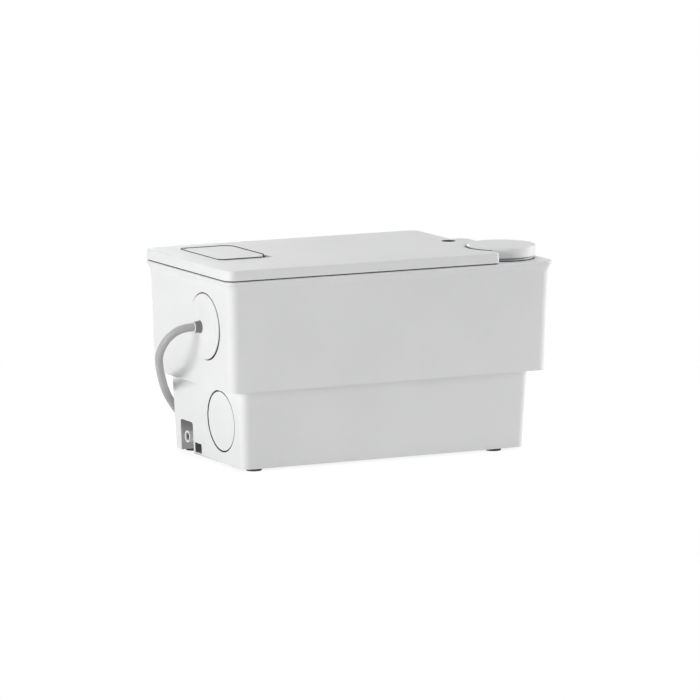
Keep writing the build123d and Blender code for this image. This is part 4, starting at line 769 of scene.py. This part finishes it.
# Strain relief
# A tapered sleeve of dark grey rubber with fine ribs, held in the nut, and a light ring of grip at its end
# where the cord comes out.
SLEEVE_BORE = 4.45
SLEEVE_RADIUS = 6.6
SLEEVE_INNER_END = -181.4
SLEEVE_NECK = -200.9
SLEEVE_OUTER_END = -208.4
SLEEVE_TIP = 5.2
SLEEVE_RIBS = 5
FIRST_RIB = -201.1
RIB_PITCH = 1.4
RIB_DEPTH = 0.6
RIB_TAPER = 0.16
SLEEVE_STEPS = 64
GRIP_PROFILE = ((SLEEVE_BORE, -208.35), (5.7, -208.35), (5.9, -208.6), (5.7, -209.15),
                (SLEEVE_BORE, -209.15))
sleeve_rubber = Finish("sleeve_rubber", (0.25, 0.25, 0.255), 0.5)
sleeve_rubber.give({"Base Color": sleeve_rubber.mixed(sleeve_rubber.noise(500, 3), (0.21, 0.21, 0.215),
                                                      (0.29, 0.29, 0.295))})
sleeve_rubber.bump(sleeve_rubber.noise(1500, 3), 0.00004)
sleeve_profile = [(SLEEVE_BORE, SLEEVE_INNER_END), (SLEEVE_RADIUS, SLEEVE_INNER_END),
                  (SLEEVE_RADIUS, SLEEVE_NECK)]
for i in range(SLEEVE_RIBS):
    x = FIRST_RIB - i * RIB_PITCH
    crest = SLEEVE_RADIUS - RIB_TAPER * i
    groove = crest - RIB_DEPTH
    sleeve_profile += [(crest, x), (crest, x - 0.75), (groove, x - 0.85), (groove, x - 1.25)]
sleeve_profile += [(SLEEVE_TIP, SLEEVE_OUTER_END), (SLEEVE_BORE, SLEEVE_OUTER_END)]
sleeve = turned("ribbed_sleeve", sleeve_profile, sleeve_rubber, SLEEVE_STEPS)
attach(sleeve, "unit")
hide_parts("strain_relief")
ring_light = moulded("grip_ring", (0.8, 0.8, 0.8), (0.76, 0.76, 0.76), 0.4)
grip = turned("sleeve_ring", GRIP_PROFILE, ring_light, SLEEVE_STEPS)
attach(grip, "unit")


# Ports: plug at the left, sleeve and flap at the right, stopper in the drain nozzle
# The plug is a flat white disc in a ring-shaped gap. The right port holds a black rubber sleeve for the
# waste pipe, with a rubber flap behind it, and a small rubber stopper closes the nozzle.
PLUG_FACE = -172.0
PLUG_RIM = 32.25
PLUG_ROOT = -165.0
PIPE_SLEEVE_FACE = 171.5
# Painted shade: the plug's side in the ring-shaped gap is coloured near-black.
softened("inlet_plug_left", "port_plug", shell_white, 0.4, 50, body="left_plug_body",
         chosen=past(0, PLUG_FACE, -1), others=(painted_shade_dark,),
         rules=[lambda c, n: off(c, PORT_MIDDLE) > PLUG_RIM and c.x < PLUG_ROOT])
dress(rubber, "plug_seal_left", "inlet_flap_right")
softened("inlet_sleeve_right", "pipe_sleeve", rubber, 0.5, 50,
         chosen=past(0, PIPE_SLEEVE_FACE))
softened("drain_plug", "nozzle_stopper", rubber, 0.4, 50, body="drain_plug_body")


# Filter under the hatch
# A tray of grey-white plastic with slots in its floor hangs in the well of the lid. It holds a block of black
# carbon foam, open-celled and dusty.
carbon = Finish("carbon_foam", (0.03, 0.03, 0.03), 0.9)
cells = carbon.node("ShaderNodeTexVoronoi", {"feature": "F1"}, {"Vector": carbon.place(), "Scale": 420.0})
carbon.give({"Base Color": carbon.mixed(cells.clamped(0.1, 0.6), (0.008, 0.008, 0.008),
                                        (0.06, 0.06, 0.058))})
carbon.bump(cells, 0.0008)
dress(inner_plastic, "filter_tray")
dress(carbon, "carbon_filter")


# Deck over the sump, with its gasket and screws
# A plate of grey-white plastic screwed to the step of the tank on a rubber gasket. Pump, motor, valve, float
# switch and control box stand on it.
dress(inner_plastic, "pump_deck")
dress(rubber, "deck_seal")
dress(steel, "deck_screws", "motor_screws", "impeller_nut", "hose_clamps", "float_rod")


# Motor
# A cast aluminium housing and cover, blasted and slightly rough, round a varnished stator of thin sheets with
# enamelled copper windings. The shaft is ground steel and runs in two ball bearings.
cast_metal = Finish("cast_aluminium", (0.62, 0.63, 0.65), 0.42, Metallic=0.9)
cast_metal.give({"Roughness": cast_metal.noise(300, 4) * 0.3 + 0.3,
                 "Base Color": cast_metal.mixed(cast_metal.noise(25, 4), (0.54, 0.55, 0.57),
                                                (0.66, 0.67, 0.69))})
cast_metal.bump(cast_metal.noise(900, 3, 0.6), 0.00012)
dress(cast_metal, "motor_housing", "motor_cover")
sheets = Finish("varnished_sheets", (0.2, 0.2, 0.21), 0.4, Metallic=0.6)
layers = sheets.node("ShaderNodeTexWave", {"wave_type": "BANDS", "bands_direction": "Z"},
                     {"Vector": sheets.place(), "Scale": 320.0, "Distortion": 0.3})
sheets.give({"Base Color": sheets.mixed(layers, (0.1, 0.1, 0.105), (0.3, 0.3, 0.31))})
sheets.bump(layers, 0.0001)
dress(sheets, "stator", "rotor")
copper = Finish("enamelled_copper", (0.6, 0.27, 0.12), 0.3, Metallic=0.85)
turns = copper.node("ShaderNodeTexWave", {"wave_type": "RINGS", "rings_direction": "Z"},
                    {"Vector": copper.place(), "Scale": 260.0, "Distortion": 1.5, "Detail": 2.0})
copper.give({"Base Color": copper.mixed(turns, (0.42, 0.16, 0.06), (0.72, 0.36, 0.17))})
copper.bump(turns, 0.0003)
dress(copper, "windings")
ground_steel = Finish("ground_steel", (0.58, 0.59, 0.61), 0.2, Metallic=1.0)
marks = ground_steel.node("ShaderNodeTexWave", {"wave_type": "BANDS", "bands_direction": "Z"},
                          {"Vector": ground_steel.place(), "Scale": 700.0, "Distortion": 4.0})
ground_steel.give({"Roughness": marks * 0.15 + 0.14})
dress(ground_steel, "shaft", "lower_bearing", "upper_bearing")
dress(rubber, "shaft_seal")


# Pump
# Volute and pressure pipe of grey-white plastic, black glass-filled impeller and suction cover with a ring of
# strainer slots at its foot.
dark_plastic = moulded("glass_filled_black", (0.06, 0.06, 0.063), (0.04, 0.04, 0.042), 0.5, 0.00006, 1400)
dress(inner_plastic, "volute", "pressure_pipe")
dress(dark_plastic, "suction_cover", "impeller")


# Check valve and riser hose
# A two-part valve housing of grey-white plastic round a rubber ball. A moulded black hose with a fabric-like
# wrap mark takes the water up to the outlet fitting and is held by two steel clamps.
dress(inner_plastic, "valve_body", "valve_top")
dress(rubber, "valve_ball")
hose_rubber = Finish("wrapped_hose", (0.03, 0.03, 0.032), 0.55)
across = hose_rubber.node("ShaderNodeTexWave", {"wave_type": "BANDS", "bands_direction": "DIAGONAL"},
                          {"Vector": hose_rubber.place(), "Scale": 150.0, "Distortion": 0.5})
hose_rubber.give({"Base Color": hose_rubber.mixed(across, (0.02, 0.02, 0.022), (0.05, 0.05, 0.052))})
hose_rubber.bump(across, 0.00015)
dress(hose_rubber, "riser_hose")


# Float and level switch
# A hollow float of grey-white plastic on a steel rod, guided in the deck. Its rod pushes the button of a
# black switch on a bracket.
dress(inner_plastic, "float", "float_guide")
dress(dark_plastic, "level_switch")


# Control box
# A black box with a lid on the deck. It holds a green lacquered circuit board with a relay, a transformer and
# a capacitor. The motor's own capacitor stands beside the motor in a white can.
dress(dark_plastic, "control_box", "control_box_lid")
dress(cap_white, "run_capacitor")
BOARD_TOP = 109.0
board = Finish("lacquered_board", (0.03, 0.2, 0.08), 0.3, Coat_Weight=0.4)
height = board.node("ShaderNodeSeparateXYZ", None, {"Vector": board.place()}, output=2)
raised = height > BOARD_TOP * MM
tracks = board.node("ShaderNodeTexBrick", {"offset": 0.35},
                    {"Vector": board.place(), "Scale": 260.0, "Mortar Size": 0.03}, output=1)
lacquer = board.mixed(tracks, (0.02, 0.16, 0.06), (0.1, 0.34, 0.14))
board.give({"Base Color": board.mixed(raised, lacquer, (0.03, 0.03, 0.035))})
board.bump(tracks, 0.0001)
dress(board, "circuit_board")


# Cables inside
# Two short round cables lie loose over the deck: the mains lead from its gland to the control box, and the
# motor lead from the box to the motor.
INNER_RADIUS = 3.6
motor_sheath = Finish("motor_lead_sheath", (0.05, 0.05, 0.052), 0.45)
motor_sheath.give({"Base Color": motor_sheath.mixed(motor_sheath.noise(200, 3), (0.035, 0.035, 0.037),
                                                    (0.065, 0.065, 0.068))})
motor_sheath.bump(motor_sheath.noise(1200, 2), 0.00003)
inner_lead = nurbs("inner_lead", [(SLEEVE_INNER_END, *COVER_MIDDLE), (-167.4, *COVER_MIDDLE),
                                  (-166.4, -49.3, 128.0), (-145.0, -49.3, 128.0)], INNER_RADIUS)
motor_lead = nurbs("motor_lead", [(-65.0, -36.0, 130.7), (-49.0, -36.0, 130.7), (-33.0, -12.0, 126.7),
                                  (-20.0, -12.0, 126.7)], INNER_RADIUS)
for lead, node, finish, slot in ((inner_lead, "inner_cable", cord_grey, "cord_grey"),
                                 (motor_lead, "motor_cable", motor_sheath, "dark_plastic")):
    lead.data.materials.append(finish.material)
    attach(lead, "unit")
    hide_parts(node)
